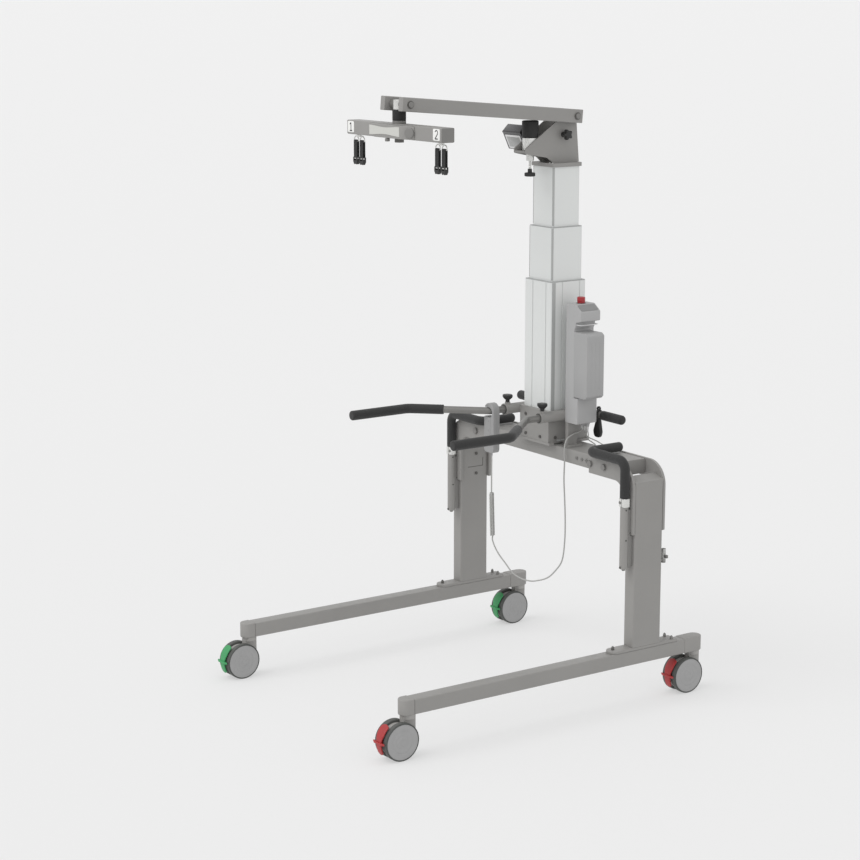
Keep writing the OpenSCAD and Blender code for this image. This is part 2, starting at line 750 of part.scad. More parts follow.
ctrl_y0 = mast_y - 42;
post_w = 15;
post_depth = 40;
low_top = 1002;
batt_low = 1016;
batt_top = 1232;
batt_lid = 1240;
notch_top = 1253;
block_low = 1270;
block_w = 80;
shell_gap = 0.3;
button_stem_d = 14;
button_y = ctrl_y0 + ctrl_depth / 2;
button_x = ctrl_x + 27;

module control_post() color(frame_grey) placed() {
    span([ctrl_x + 0.5, ctrl_y0 + 2, beam_top],
        [ctrl_x + post_w, ctrl_y0 + 2 + post_depth, ctrl_z - shell_gap]);
    span([ctrl_x + 0.5, ctrl_y0 - 4, beam_top],
        [ctrl_x + post_w + 22, ctrl_y0 + post_depth + 10, beam_top + 6]);
}

// The control box: a back part behind the battery, a lower box and a top block with a chamfer.
module control_box() color(light_grey) placed() difference() {
    across_y(ctrl_y0, ctrl_y0 + ctrl_depth) polygon([
        [ctrl_x, ctrl_z], [ctrl_x + low_w, ctrl_z], [ctrl_x + low_w, low_top],
        [ctrl_x + 45, low_top], [ctrl_x + 45, batt_lid], [ctrl_x + 52, notch_top],
        [ctrl_x + 52, block_low - 6], [ctrl_x + block_w, block_low],
        [ctrl_x + block_w, ctrl_top - 23], [ctrl_x + 48, ctrl_top], [ctrl_x, ctrl_top]]);
    translate([button_x, button_y, ctrl_top - 16]) cylinder(h = 40, r = button_stem_d / 2 + run);
}

module battery_pack() color(light_grey) placed() difference() {
    x0 = ctrl_x + 45 + shell_gap;
    x1 = ctrl_x + batt_w;
    across_y(ctrl_y0 + 2, ctrl_y0 + 2 + batt_depth) polygon([
        [x0, low_top + shell_gap + 4], [x1 - 14, low_top + shell_gap + 4], [x1, batt_low + 4],
        [x1, batt_top - 8], [x1 - 12, batt_top], [x0, batt_top]]);
    // Shallow channels in the outer face.
    for (y = [18, 36, 54]) translate([x1 - 1.5, ctrl_y0 + 2 + y, batt_low + 20])
        cube([3, 2, batt_top - batt_low - 50]);
}

stop_travel = 4;
module estop_button() color(red) placed() translate([button_x, button_y, ctrl_top]) {
    translate([0, 0, -11]) cylinder(h = 22, d = button_stem_d);
    translate([0, 0, stop_travel + 1]) rotate_extrude() polygon([[0, 0], [stop_d / 2 - 2, 0],
        [stop_d / 2, 3], [stop_d / 2, 10], [stop_d / 2 - 3, 14.5], [stop_d / 2 - 8, 17], [0, 17]]);
}

gland_y = ctrl_y0 + 64;
gland_x = [ctrl_x + 14, ctrl_x + 30, ctrl_x + 46];
lead_d = 5;
lead_end_x = [276, 208];
lead_end_y = mast_y + 24;
gland_len = 16;
gland_bore = 11;
relief_len = 14;

// Shares of a lead's way across at which it leaves its gland and comes down to the beam.
lead_near = 0.16;
lead_far = 0.8;

// Three glands under the control box, two leads that run to grommets in the cross beam, and the
// strain relief in the handset's foot.
module cable_glands() color(light_grey) placed() {
    for (x = gland_x) translate([x, gland_y, ctrl_z - gland_len]) difference() {
        union() {
            cylinder(h = gland_len, d = 12);
            translate([0, 0, 9]) cylinder(h = 5, d = 16, $fn = 6);
        }
        translate([0, 0, -eps]) cylinder(h = gland_bore + eps, d = cord_d + 2 * seat);
    }
    translate([set_x, set_y, set_z - relief_len]) difference() {
        cylinder(h = relief_len + relief_in, d = relief_d);
        translate([0, 0, -eps]) cylinder(h = relief_len + relief_bore + eps, d = cord_d + 2 * seat);
    }
    for (i = [0, 1]) {
        x0 = gland_x[i + 1];
        x1 = lead_end_x[i];
        drop = ctrl_z - beam_top;
        across = x1 - x0;
        swept(eased([[x0, gland_y, ctrl_z - gland_len + gland_bore - seat],
            [x0, gland_y, ctrl_z - gland_len - 2], [x0, gland_y, ctrl_z - gland_len - 10],
            [x0 + 4, gland_y, ctrl_z - drop * 0.5],
            [x0 + lead_near * across, gland_y, ctrl_z - drop * (0.62 + 0.1 * i)],
            [x0 + across / 2, lead_end_y, beam_top + 26 - 8 * i],
            [x0 + lead_far * across, lead_end_y, beam_top + 18 - 4 * i],
            [x1 - 5, lead_end_y, beam_top + 13], [x1, lead_end_y, beam_top + 6], [x1, lead_end_y, beam_top]],
            3), lead_d - 1, cord_sides);
        translate([x1, lead_end_y, beam_top]) difference() {
            cylinder(h = 5, d = 14);
            translate([0, 0, -eps]) cylinder(h = 5 + 2 * eps, d = lead_d + seat);
        }
    }
}

// Handset, hung by its hook on the left handlebar

set_x = -socket_x;
set_y = mast_y - 196;
hook_d = bar_d + 11;
hook_z = bar_z + bar_d / 2 - hook_d / 2 + rest_gap;
set_top = hook_z + hook_d / 2 + 16;
key_t = 3;
key_w = 22;
key_len = 59;
key_gap = 0.5;

module handset() color(light_grey) placed() difference() {
    across_y(set_y - set_depth / 2, set_y + set_depth / 2) translate([set_x, 0]) difference() {
        union() {
            translate([-set_w / 2, set_z + 14]) square([set_w, set_top - set_z - 42]);
            translate([-set_w / 2 + 14, set_z]) square([set_w - 28, 20]);
            for (s = sides) translate([s * (set_w / 2 - 14), set_z + 14]) circle(14);
            translate([0, set_top - set_w / 2]) circle(set_w / 2);
        }
        translate([0, hook_z]) circle(hook_d / 2);
        translate([-set_w, hook_z - hook_d / 2 + 3]) square([set_w, hook_d - 3]);
    }
    translate([set_x, set_y - set_depth / 2 - eps, set_z + 96]) rotate([-90, 0, 0])
        linear_extrude(key_t + 4 + eps)
            round_square(key_w + 2 * key_gap, key_len + 2 * key_gap, 3.4);
    translate([set_x, set_y, set_z - eps])
        cylinder(h = relief_in + 2 + eps, d = relief_d + 2 * seat);
}

// A rocker key in the handset's front face, tilting about its middle.
module handset_key() color(light_grey) placed()
    translate([set_x, set_y - set_depth / 2 + key_t + 1, set_z + 96]) rotate([90, 0, 0])
        linear_extrude(key_t + 2) round_square(key_w, key_len, 3);

// Handset cord: a straight lead, a curly length and a thin lead back to the control box

cord_d = 5;
curl_d = 4.4;
curl_outer = 18;
curls = 30;
relief_d = 8;
relief_in = 8;
relief_bore = 6;
cord_sides = 8;
curl_sides = 6;
curl_top = [-112, 219, 640];
curl_bottom = [-107, 221, 472];
cord_upper = [[set_x, set_y, set_z + relief_bore], [set_x, set_y, set_z - 5],
    [set_x, set_y, set_z - 16], [-101, 211, 753], [-104, 213, 732], [-108, 216, 700],
    [-112, 219, 654], curl_top];
cord_lower = [curl_bottom, [-107, 221, 462], [-98, 225, 438], [-82, 232, 412],
    [-59, 242, 385], [-32, 253, 355], [-2, 266, 339], [26, 278, 334], [54, 290, 337],
    [98, 309, 355], [130, 322, 388], [153, 332, 429], [161, 336, 500], [162, 336, 574],
    [159, 335, 645], [156, 333, 716], [158, 333, 784], [157, 333, 824], [152, 345, 856],
    [142, 384, 870], [140, 408, 873], [134, 424, 880], [gland_x[0], gland_y, ctrl_z - gland_len - 7],
    [gland_x[0], gland_y, ctrl_z - gland_len - 2],
    [gland_x[0], gland_y, ctrl_z - gland_len + gland_bore]];

// A point on a smooth curve through four neighbouring route points.
function glide(a, b, c, d, t) = 0.5 * (2 * b + (c - a) * t + (2 * a - 5 * b + 4 * c - d) * t * t
    + (3 * b - a - 3 * c + d) * t * t * t);

function eased(pts, steps) = let(n = len(pts)) concat(
    [for (i = [0 : n - 2], k = [0 : steps - 1])
        glide(pts[max(i - 1, 0)], pts[i], pts[i + 1], pts[min(i + 2, n - 1)], k / steps)],
    [pts[n - 1]]);

function heading(p, i) = unit(p[min(i + 1, len(p) - 1)] - p[max(i - 1, 0)]);

// Carries a normal along the route, so that the swept tube doesn't twist.
function carried(p, i = 0, n = undef, out = []) = i == len(p) ? out :
    let(t = heading(p, i),
        start = abs(t[2]) > 0.9 ? [1, 0, 0] : [0, 0, 1],
        m = is_undef(n) ? start : n,
        q = unit(m - (m * t) * t))
    carried(p, i + 1, q, concat(out, [q]));

// A closed tube of diameter d swept along the points p.
module swept(p, d, n) {
    normals = carried(p);
    rings = [for (i = [0 : len(p) - 1], k = [0 : n - 1])
        let(t = heading(p, i), u = normals[i], v = cross(t, u), a = 360 * k / n)
        p[i] + d / 2 * (cos(a) * u + sin(a) * v)];
    walls = [for (i = [0 : len(p) - 2], k = [0 : n - 1], side = [0, 1])
        let(a = i * n + k, b = i * n + (k + 1) % n)
        side == 0 ? [a, a + n, b] : [b, a + n, b + n]];
    last = (len(p) - 1) * n;
    ends = concat([for (k = [1 : n - 2]) [0, k, k + 1]],
        [for (k = [1 : n - 2]) [last, last + k + 1, last + k]]);
    polyhedron(points = rings, faces = concat(walls, ends), convexity = 10);
}

module handset_cord() color(light_grey) placed() {
    swept(eased(cord_upper, 3), cord_d, cord_sides);
    swept(eased(cord_lower, 3), cord_d, cord_sides);
}

curl_r = (curl_outer - curl_d) / 2;
curl_lead = curl_d;
curl_axis = unit(curl_bottom - curl_top);
curl_run = norm(curl_bottom - curl_top) - 2 * curl_lead;
curl_side = unit([1, 0, 0] - curl_axis[0] * curl_axis);
curl_across = cross(curl_axis, curl_side);
// Share of the run over which the helix opens to its full radius at each end.
curl_ease = 0.02;
function curl_open(t) = min(1, t / curl_ease, (1 - t) / curl_ease);
curl_points = concat([curl_top],
    [for (i = [0 : 8 * curls]) let(t = i / (8 * curls), a = 360 * t * curls, r = curl_r * curl_open(t))
        curl_top + curl_axis * (curl_lead + curl_run * t)
            + r * (cos(a) * curl_side + sin(a) * curl_across)],
    [curl_bottom]);
curl_gap = min([for (i = [8 : 8 * curls - 16], k = [6 : 10])
    norm(curl_points[i] - curl_points[i + k])]) - curl_d;
echo(curl_least_gap = curl_gap);

module curly_cord() color(light_grey) placed() swept(curl_points, curl_d, curl_sides);

// Handle sleeves, clamps and push handles

handle_x = leg_x;
handle_y = mast_front - corner_t - push_grip_d / 2 - rest_gap - 0.2;
push_bend = 32;
push_engage = 84;
push_low = sleeve_top - push_travel - push_engage;
grip_low = sleeve_top + clamp_h + rest_gap;
push_path = [[handle_x, handle_y, push_low], [handle_x, handle_y, push_z],
    [push_in_x, handle_y, push_z], [push_in_x, mast_front + push_end, push_z]];
sleeve_gap_low = corner_low - 2;

module handle_sleeves() color(frame_grey) placed() for (s = sides)
    translate([s * handle_x, handle_y, 0]) difference() {
        union() {
            translate([0, 0, sleeve_low]) linear_extrude(sleeve_top - sleeve_low)
                round_square(sleeve_w, sleeve_depth, 9);
            span([-sleeve_w / 2 + 1, 0, sleeve_low + 8],
                [sleeve_w / 2 - 1, mast_front - corner_t - handle_y, sleeve_top - 8]);
            span([-sleeve_w / 2 + 1, 0, sleeve_low + 8],
                [sleeve_w / 2 - 1, mast_front - handle_y, sleeve_gap_low]);
        }
        translate([0, 0, sleeve_low + 12]) cylinder(h = sleeve_top, r = push_d / 2 + run);
    }

module sleeve_clamps() color(steel) placed() for (s = sides)
    translate([s * handle_x, handle_y, sleeve_top]) difference() {
        union() {
            linear_extrude(clamp_h) round_square(sleeve_w + 6, sleeve_depth - 1, 8);
            translate([-s * 8, -sleeve_depth / 2 + 4, clamp_h / 2]) rotate([90, 0, 0])
                cylinder(h = 9, d = 11);
        }
        translate([0, 0, -eps]) cylinder(h = clamp_h + 2 * eps, r = push_d / 2 + run);
        // The slit that lets the clamp close.
        translate([-1, -sleeve_depth, -eps]) cube([2, sleeve_depth, clamp_h + 2 * eps]);
    }

module push_handle(s) color(steel) placed()
    bent_tube(sided(shortened(push_path, 1), s), push_bend, push_d, push_d - 2 * bar_wall);

// The domed end of a grip, closing its bore, at p and pointing along -Y or +Y.
module grip_end(p, d, dir) translate(p) rotate([-90 * dir, 0, 0]) {
    translate([0, 0, -end_lap]) cylinder(h = d / 4 + end_lap, d = d);
    translate([0, 0, d / 4]) cylinder(h = d / 5, d1 = d, d2 = d * 0.72);
}

module push_grip(s) color(black) placed() {
    path = sided(push_path, s);
    outer = concat([[path[0][0], path[0][1], grip_low]], [for (i = [1 : 3]) path[i]]);
    bent_tube(outer, push_bend, push_grip_d, push_d + 2 * seat);
    grip_end(path[3], push_grip_d, 1);
}

// Front handlebars

bar_bend = 40;
bar_engage = 84;
bar_path = [[socket_x, mast_y - bend1_back + bar_travel + bar_engage, bar_z],
    [socket_x, mast_y - bend1_back, bar_z], [bar_out_x, mast_y - bend2_back, bar_z],
    [bar_out_x, mast_y - bar_end_back + 12, bar_z]];
grip_share = 0.57;
grip_start = bar_path[1] + grip_share * (bar_path[2] - bar_path[1]);

module handlebar(s) color(steel) placed()
    bent_tube(sided(shortened(bar_path, -1), s), bar_bend, bar_d, bar_d - 2 * bar_wall);

module handlebar_grip(s) color(black) placed() {
    start = [s * grip_start[0], grip_start[1], grip_start[2]];
    path = sided(bar_path, s);
    bent_tube([start, path[2], path[3]], bar_bend, bar_grip_d, bar_d + 2 * seat);
    grip_end(path[3], bar_grip_d, -1);
}

// A clamp knob: a wing head on a plain stem, pressing on the handlebar.
module clamp_knob(s) color(black) placed() translate([s * socket_x, knob_y, 0]) {
    boss_top = bar_z + socket_d / 2 + 6;
    translate([0, 0, knob_z0]) cylinder(h = boss_top + 8 - knob_z0, d = knob_stem_d);
    translate([0, 0, boss_top + 1]) cylinder(h = 10, d = 15);
    translate([0, 0, boss_top + 9]) cylinder(h = 9, d1 = 20, d2 = 36);
    translate([0, 0, boss_top + 18]) intersection() {
        cylinder(h = 9, d = 38);
        union() for (a = [0 : 60 : 120]) rotate(a) translate([-20, -8, 0]) cube([40, 16, 9]);
    }
}

// Head bracket, display, bumper

head_z = col_top3 + flange_t;
pivot_y = mast_y + pivot_back;
pivot_z = head_z + pivot_up;
bumper_y = mast_y - bumper_front;
shelf_z = head_z + 36;
shelf_t = 8;
star_y = mast_y;
star_z = head_z + 95;
star_shaft_d = 8;
eye_r = 20;
jack_sleeve_h = 27;
seat_h = 42;
seat_d = 53;
under_slope = tan(boom_tilt);
// Height of the boom's underside above the bumper's rear edge.
under_z = pivot_z - boom_h / 2 / cos(boom_tilt)
    + (pivot_y - bumper_y - bumper_d / 2) * under_slope;
bumper_top = under_z - rest_gap;
head_outline = [[70, 0], [58.5, 129.6], [pivot_back + eye_r, pivot_up],
    [pivot_back - eye_r, pivot_up - 4], [-33, 137.7], [-159, 51], [-158, 36], [-154, 34],
    [-117.5, 26.5], [-65.2, 18], [-46, 2], [-44, 0]];

module head_bracket() color(frame_grey) placed() translate([0, mast_y, head_z]) difference() {
    union() {
        for (s = sides) translate([s * (head_half - head_t / 2), 0, 0]) across_x(-head_t / 2, head_t / 2) {
            polygon(head_outline);
            translate([pivot_back, pivot_up]) circle(eye_r);
        }
        translate([0, 0, -flange_t]) linear_extrude(flange_t)
            round_square(flange_w, flange_w, corner_round);
        span([-head_half, -158, shelf_z - head_z], [head_half, -96, shelf_z - head_z + shelf_t]);
        span([-head_half, 52, 0], [head_half, 60, 60]);
        translate([0, -bumper_front, shelf_z - head_z - jack_sleeve_h])
            cylinder(h = jack_sleeve_h + 1, d = 26);
    }
    translate([0, pivot_back, pivot_up]) rotate([0, 90, 0])
        cylinder(h = 3 * head_half, r = pin_d / 2 + run, center = true);
    translate([0, star_y - mast_y, star_z - head_z]) rotate([0, 90, 0])
        cylinder(h = 3 * head_half, r = star_shaft_d / 2 + run, center = true);
    translate([0, -bumper_front, 0]) cylinder(h = 80, r = jack_d / 2 + run);
}

// The rubber bumper and the steel seat under it.
module rubber_bumper() color(black) placed() translate([0, bumper_y, shelf_z + shelf_t]) {
    difference() {
        cylinder(h = seat_h, d = seat_d);
        translate([0, 0, -eps]) cylinder(h = 14 + eps, r = jack_d / 2 + run);
    }
    translate([0, 0, seat_h + seat])
        cylinder(h = bumper_top - shelf_z - shelf_t - seat_h - seat, d = bumper_d);
}

// The jack screw under the bumper with its round hand knob.
module jack_screw() color(black) placed() translate([0, bumper_y, 0]) {
    knob_top = shelf_z - 56;
    translate([0, 0, knob_top]) cylinder(h = shelf_z + shelf_t + 12 - knob_top, d = jack_d);
    translate([0, 0, knob_top - 12]) cylinder(h = 13, d = 15);
    translate([0, 0, knob_top - 25]) cylinder(h = 13.5, d = 37.5);
}

module star_knob() color(black) placed() translate([0, star_y, star_z]) rotate([0, 90, 0]) {
    translate([0, 0, -head_half - arm_t - 4]) cylinder(h = 2 * head_half + arm_t + 14, d = star_shaft_d);
    translate([0, 0, head_half + 1]) cylinder(h = 18, d = 20);
    translate([0, 0, head_half + 15]) union() {
        cylinder(h = 19, d = 27);
        for (a = [0 : 72 : 288]) rotate(a) translate([13, 0, 0]) cylinder(h = 19, d = 14);
    }
}

arm_t = 5;
disp_x0 = -145;
disp_x1 = -42;
disp_outline = [[-128, 100], [-102, 126], [-76, 117], [-80, 43], [-97, 39], [-123, 94]];
disp_lean = 25.5;
screen_w = 82;
screen_h = 44;

// The display: a wedge shaped case on an arm that turns about the star knob's shaft.
module display_case() color(light_grey) placed() {
    difference() {
        translate([0, mast_y, head_z]) across_x(disp_x0, disp_x1) polygon(disp_outline);
        // A shallow window for the screen.
        translate([(disp_x0 + disp_x1) / 2, mast_y - 110, head_z + 66.5]) rotate([-disp_lean, 0, 0])
            translate([-screen_w / 2, -4, -screen_h / 2]) cube([screen_w, 5, screen_h]);
    }
    difference() {
        union() {
            translate([-head_half - 1, 0, 0]) across_x(-arm_t, 0) {
                translate([star_y, star_z]) circle(14);
                polygon([[mast_y - 86, star_z - 16], [star_y, star_z - 13], [star_y, star_z + 13],
                    [mast_y - 86, star_z + 12]]);
            }
            span([disp_x1 - eps, mast_y - 90, star_z - 16], [-head_half - 1, mast_y - 80, star_z + 12]);
        }
        translate([-head_half, star_y, star_z]) rotate([0, 90, 0])
            cylinder(h = 40, r = star_shaft_d / 2 + run, center = true);
    }
}

// Boom

boom_wall = 2.5;
boom_back = 23;
boom_nose = 29.5;
boom_x0 = boom_gap / 2;
web_t = 4;
pin_head_h = 7;

module boom_place() placed() translate([0, pivot_y, pivot_z]) rotate([-boom_tilt, 0, 0]) children();

module boom() color(frame_grey) {
    boom_place() {
        difference() {
            union() {
                for (s = sides) translate([s * (boom_x0 + boom_w / 2), 0, 0]) difference() {
                    span([-boom_w / 2, -boom_reach - boom_nose, -boom_h / 2],
                        [boom_w / 2, boom_back, boom_h / 2]);
                    span([-boom_w / 2 + boom_wall, -boom_reach - boom_nose - eps,
                        -boom_h / 2 + boom_wall],
                        [boom_w / 2 - boom_wall, boom_back + eps, boom_h / 2 - boom_wall]);
                }
                span([-boom_x0 - eps, -boom_reach + 40, boom_h / 2 - 6],
                    [boom_x0 + eps, -60, boom_h / 2 - 6 + web_t]);
                span([-boom_x0 - eps, bumper_y - pivot_y - 40, -boom_h / 2],
                    [boom_x0 + eps, bumper_y - pivot_y + 38, -boom_h / 2 + 6]);
            }
            for (y = [0, -boom_reach]) translate([0, y, 0]) rotate([0, 90, 0])
                cylinder(h = 200, r = pin_d / 2 + seat, center = true);
        }
        for (y = [0, -boom_reach]) translate([0, y, 0]) rotate([0, 90, 0]) {
            cylinder(h = 2 * (boom_x0 + boom_w) + 2, d = pin_d, center = true);
            for (s = sides) translate([0, 0, s * (boom_x0 + boom_w + seat + pin_head_h / 2)])
                cylinder(h = pin_head_h, d = 26, center = true);
        }
        // Spacers between the head plates and the side tubes.
        for (s = sides) rotate([0, 90, 0]) translate([0, 0, s * (head_half + boom_x0) / 2])
            difference() {
                cylinder(h = boom_x0 - head_half - 2 * rest_gap, d = 30, center = true);
                cylinder(h = boom_x0, r = pin_d / 2 + seat, center = true);
            }
    }
}

// Yoke

yoke_y = pivot_y - boom_reach * cos(boom_tilt);
yoke_pin_z = pivot_z + boom_reach * sin(boom_tilt);
yoke_top = yoke_pin_z - yoke_drop;
yoke_z = yoke_top - yoke_h;
bore_d = 25;
collar_h = 10;
bush_h = 35;
nut_h = 12;

module yoke_place() placed() translate([0, yoke_y, 0]) children();

// The steel stem with its cross bore, the black bush and the nut under the yoke beam.
bush_top = yoke_top + collar_h + rest_gap + bush_h;

module yoke_stem() color(steel) yoke_place() difference() {
    union() {
        translate([0, 0, bush_top - bush_h]) difference() {
            cylinder(h = bush_h, d = bush_d);
            translate([0, 0, -eps]) cylinder(h = bush_h + 2 * eps, d = bore_d + 2 * seat);
        }
        translate([0, 0, bush_top + seat]) cylinder(h = yoke_pin_z + 14 - bush_top - seat, d = neck_d);
        translate([0, 0, yoke_pin_z]) rotate([0, 90, 0])
            cylinder(h = boom_gap - 2 * rest_gap, d = 28, center = true);
        translate([0, 0, yoke_z - nut_h]) cylinder(h = bush_top + 1 - yoke_z + nut_h, d = bore_d);
        translate([0, 0, yoke_z - nut_h - 2]) cylinder(h = nut_h + 2 - rest_gap, d = 34);
    }
    translate([0, 0, yoke_pin_z]) rotate([0, 90, 0])
        cylinder(h = boom_gap + 2, r = pin_d / 2 + run, center = true);
}

hang_bore = 10;
hang_x = yoke_len / 2 - hang_inset;

module yoke_beam() color(light_grey) yoke_place() difference() {
    end_t = 5;
    core = 50;
    union() {
        span([-yoke_len / 2, -yoke_depth / 2, yoke_z], [yoke_len / 2, yoke_depth / 2, yoke_top]);
        translate([0, 0, yoke_top - 1]) cylinder(h = collar_h + 1, d = bush_d);
    }
    translate([0, 0, yoke_z - eps]) cylinder(h = yoke_h + collar_h + 2 * eps, r = bore_d / 2 + run);
    for (s = sides) {
        mirror([s < 0 ? 1 : 0, 0, 0])
            span([core, -yoke_depth / 2 + 4, yoke_z + 12],
                [yoke_len / 2 - end_t, yoke_depth / 2 - 4, yoke_top - 4]);
        translate([s * hang_x, 0, yoke_z - eps]) cylinder(h = 12 + 2 * eps, r = hang_bore / 2 + run);
    }
}

cover_half = 130;
cover_t = 20;
cover_side = 50;

// Front and back housings that bulge from the middle of the yoke beam.
module yoke_cover() color(light_grey) yoke_place() for (s = sides)
    translate([0, s * (yoke_depth / 2), yoke_z - 2]) linear_extrude(yoke_h + 2)
        polygon([[-cover_half, 0], [cover_half, 0], [cover_half - cover_side, s * cover_t],
            [-cover_half + cover_side, s * cover_t]]);

loop_wire = 4;
loop_drop = 18;
loop_w = strap_w + 2 * loop_wire + 2;
cross_z = yoke_z - 6;

// A swivel bolt with a cross bar and two wire loops that carry the straps.
module hanger(s) color(steel) yoke_place() translate([s * hang_x, 0, 0]) {
    translate([0, 0, yoke_z - 6]) cylinder(h = 6 - rest_gap, d = 20);
    translate([0, 0, yoke_z - 6]) cylinder(h = 18, d = hang_bore);
    translate([0, 0, yoke_z + 12 + rest_gap]) cylinder(h = 6, d = 18);
    translate([0, 0, yoke_z + 11]) cylinder(h = 3, d = hang_bore);
    for (k = sides) {
        x = k * strap_pitch / 2;
        half = loop_w / 2;
        across_y(-loop_wire / 2, loop_wire / 2) translate([x, cross_z]) difference() {
            wire = loop_wire;
            in = half - wire;
            polygon([[-half, -loop_drop - wire / 2], [half, -loop_drop - wire / 2], [half, -8],
                [6, 0], [-6, 0], [-half, -8]]);
            polygon([[-in, -loop_drop + wire / 2], [in, -loop_drop + wire / 2], [in, -9.5],
                [4, -wire], [-4, -wire], [-in, -9.5]]);
        }
    }
    span([-strap_pitch / 2, -loop_wire / 2, cross_z - 4], [strap_pitch / 2, loop_wire / 2, cross_z]);
}

strap_z = cross_z - loop_drop;
loop_r = loop_wire * 0.71 + rest_gap;
buckle_w = strap_w + 6;
buckle_t = 13;
buckle_h = 26;
buckle_bar = 4;
slot_w = strap_w - 2;
slot_h = 8;

// Two webbing loops round the wire loops, joined at the foot by their buckles.
module straps(s) color(black) yoke_place() translate([s * hang_x, 0, strap_z]) {
    for (k = sides) translate([k * strap_pitch / 2, 0, 0]) {
        difference() {
            across_x(-strap_w / 2, strap_w / 2) union() {
                circle(loop_r + strap_t / 2);
                translate([-loop_r - strap_t / 2, -strap_len]) square([2 * loop_r + strap_t, strap_len]);
            }
            across_x(-strap_w, strap_w) union() {
                circle(loop_r);
                translate([-loop_r, -loop_r - 14]) square([2 * loop_r, 14 + loop_r]);
            }
        }
        difference() {
            translate([0, 0, -strap_len - seat - buckle_h])
                span([-buckle_w / 2, -buckle_t / 2, 0], [buckle_w / 2, buckle_t / 2, buckle_h]);
            translate([0, 0, -strap_len - seat - buckle_bar - slot_h])
                span([-slot_w / 2, -buckle_t, 0], [slot_w / 2, buckle_t, slot_h]);
        }
    }
}

legs();
leg_end_caps();
base_plates();
uprights();
crossbeam();
corner_plates();
frame_bolts();
column_bracket();
column_outer();
rear_handles();
rear_grips();
control_post();
control_box();
battery_pack();
cable_glands();
handle_sleeves();
sleeve_clamps();
handset();
handset_cord();
curly_cord();
estop_button();
clamp_lever();
handset_key();
column_middle();
column_inner();
head_bracket();
display_case();
star_knob();
jack_screw();
rubber_bumper();
boom();
yoke_stem();
yoke_beam();
yoke_cover();
hanger(-1);  // hanger_left
hanger(1);  // hanger_right
straps(-1);  // straps_left
straps(1);  // straps_right
handlebar(-1);  // handlebar_left
handlebar(1);  // handlebar_right
handlebar_grip(-1);  // handlebar_grip_left
handlebar_grip(1);  // handlebar_grip_right
clamp_knob(-1);  // clamp_knob_left
clamp_knob(1);  // clamp_knob_right
push_handle(-1);  // push_handle_left
push_handle(1);  // push_handle_right
push_grip(-1);  // push_grip_left
push_grip(1);  // push_grip_right
caster_fork(-1, stem_front);  // caster_front_left_fork
caster_wheels(-1, stem_front);  // caster_front_left_wheels
caster_pedal(-1, stem_front, green);  // caster_front_left_pedal
caster_fork(1, stem_front);  // caster_front_right_fork
caster_wheels(1, stem_front);  // caster_front_right_wheels
caster_pedal(1, stem_front, red);  // caster_front_right_pedal
caster_fork(-1, stem_rear);  // caster_rear_left_fork
caster_wheels(-1, stem_rear);  // caster_rear_left_wheels
caster_pedal(-1, stem_rear, green);  // caster_rear_left_pedal
caster_fork(1, stem_rear);  // caster_rear_right_fork
caster_wheels(1, stem_rear);  // caster_rear_right_wheels
caster_pedal(1, stem_rear, red);  // caster_rear_right_pedal
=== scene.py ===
"""The looks of a body weight support frame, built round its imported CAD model.

Lengths in the making are millimetres in the drawing's axes: X to the machine's right, -Y to the
open end and Z up from the floor. in_metres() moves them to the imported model's place.
"""

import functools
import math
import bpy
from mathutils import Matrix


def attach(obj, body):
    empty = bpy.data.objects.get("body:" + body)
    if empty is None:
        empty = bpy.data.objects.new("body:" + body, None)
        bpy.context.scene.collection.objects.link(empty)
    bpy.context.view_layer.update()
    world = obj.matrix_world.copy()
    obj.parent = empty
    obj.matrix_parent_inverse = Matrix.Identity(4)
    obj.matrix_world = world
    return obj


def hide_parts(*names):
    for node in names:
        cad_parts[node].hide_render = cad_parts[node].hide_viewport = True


bl_info = {
    "name": "Body weight support frame",
    "version": (1, 0, 0),
    "blender": (4, 2, 0),
    "location": "View3D > Sidebar > Support frame",
    "description": "Builds the visible pieces and finishes of a wheeled body weight support frame",
    "category": "Object",
}

import bpy
import numpy as np

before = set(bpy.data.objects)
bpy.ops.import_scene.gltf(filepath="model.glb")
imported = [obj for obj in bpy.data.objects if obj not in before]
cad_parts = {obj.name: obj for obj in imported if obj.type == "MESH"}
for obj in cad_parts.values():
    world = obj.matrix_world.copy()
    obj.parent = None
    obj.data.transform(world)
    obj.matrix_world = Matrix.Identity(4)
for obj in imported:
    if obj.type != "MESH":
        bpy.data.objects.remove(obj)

DRAWING_SHIFT = np.array([0.0, 2.0, 0.0])
MM = 0.001
X, Y, Z = np.eye(3)
SIDES = (("left", -1), ("right", 1))

# Places that the CAD drawing gives.
LEG_X, LEG_LOW, LEG_TOP, BASE_TOP = 501.0, 142.0, 192.0, 202.0
HALF_TUBE = 25.0
MAST_Y = 406.0
MAST_FRONT, MAST_BACK = 346.0, 466.0
AXLE_Z = 62.5
STEM_Y = {"front": -553.0, "rear": 633.0}
BAR_Z = 932.0
SOCKET_X = 100.0
PIVOT = np.array([0.0, 442.7, 1956.0])
BOOM_TILT = math.radians(4.87)
BOOM_REACH = 689.0
YOKE = np.array([0.0, -243.81, 1904.49])
YOKE_TOP = 1951.49
HANG_X, STRAP_PITCH, STRAP_Z = 240.0, 37.0, 1880.49
HANDSET = np.array([-100.0, 210.0, 784.0])
HOOK_Z = 926.8
REAR_Y = 477.5
SLEEVE_Y, PUSH_X, PUSH_Z = 319.0, 308.0, 846.0
BOX_FRONT, BOX_BACK = 364.0, 449.0
BUTTON = [145.0, 406.5, 1326.0]
JACK = [0.0, 291.0, 0.0]
STAR = [0.0, MAST_Y, 1894.0]


# Arrays and outlines


def in_metres(points):
    """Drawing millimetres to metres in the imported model's frame."""
    return (np.asarray(points, float) + DRAWING_SHIFT) * MM


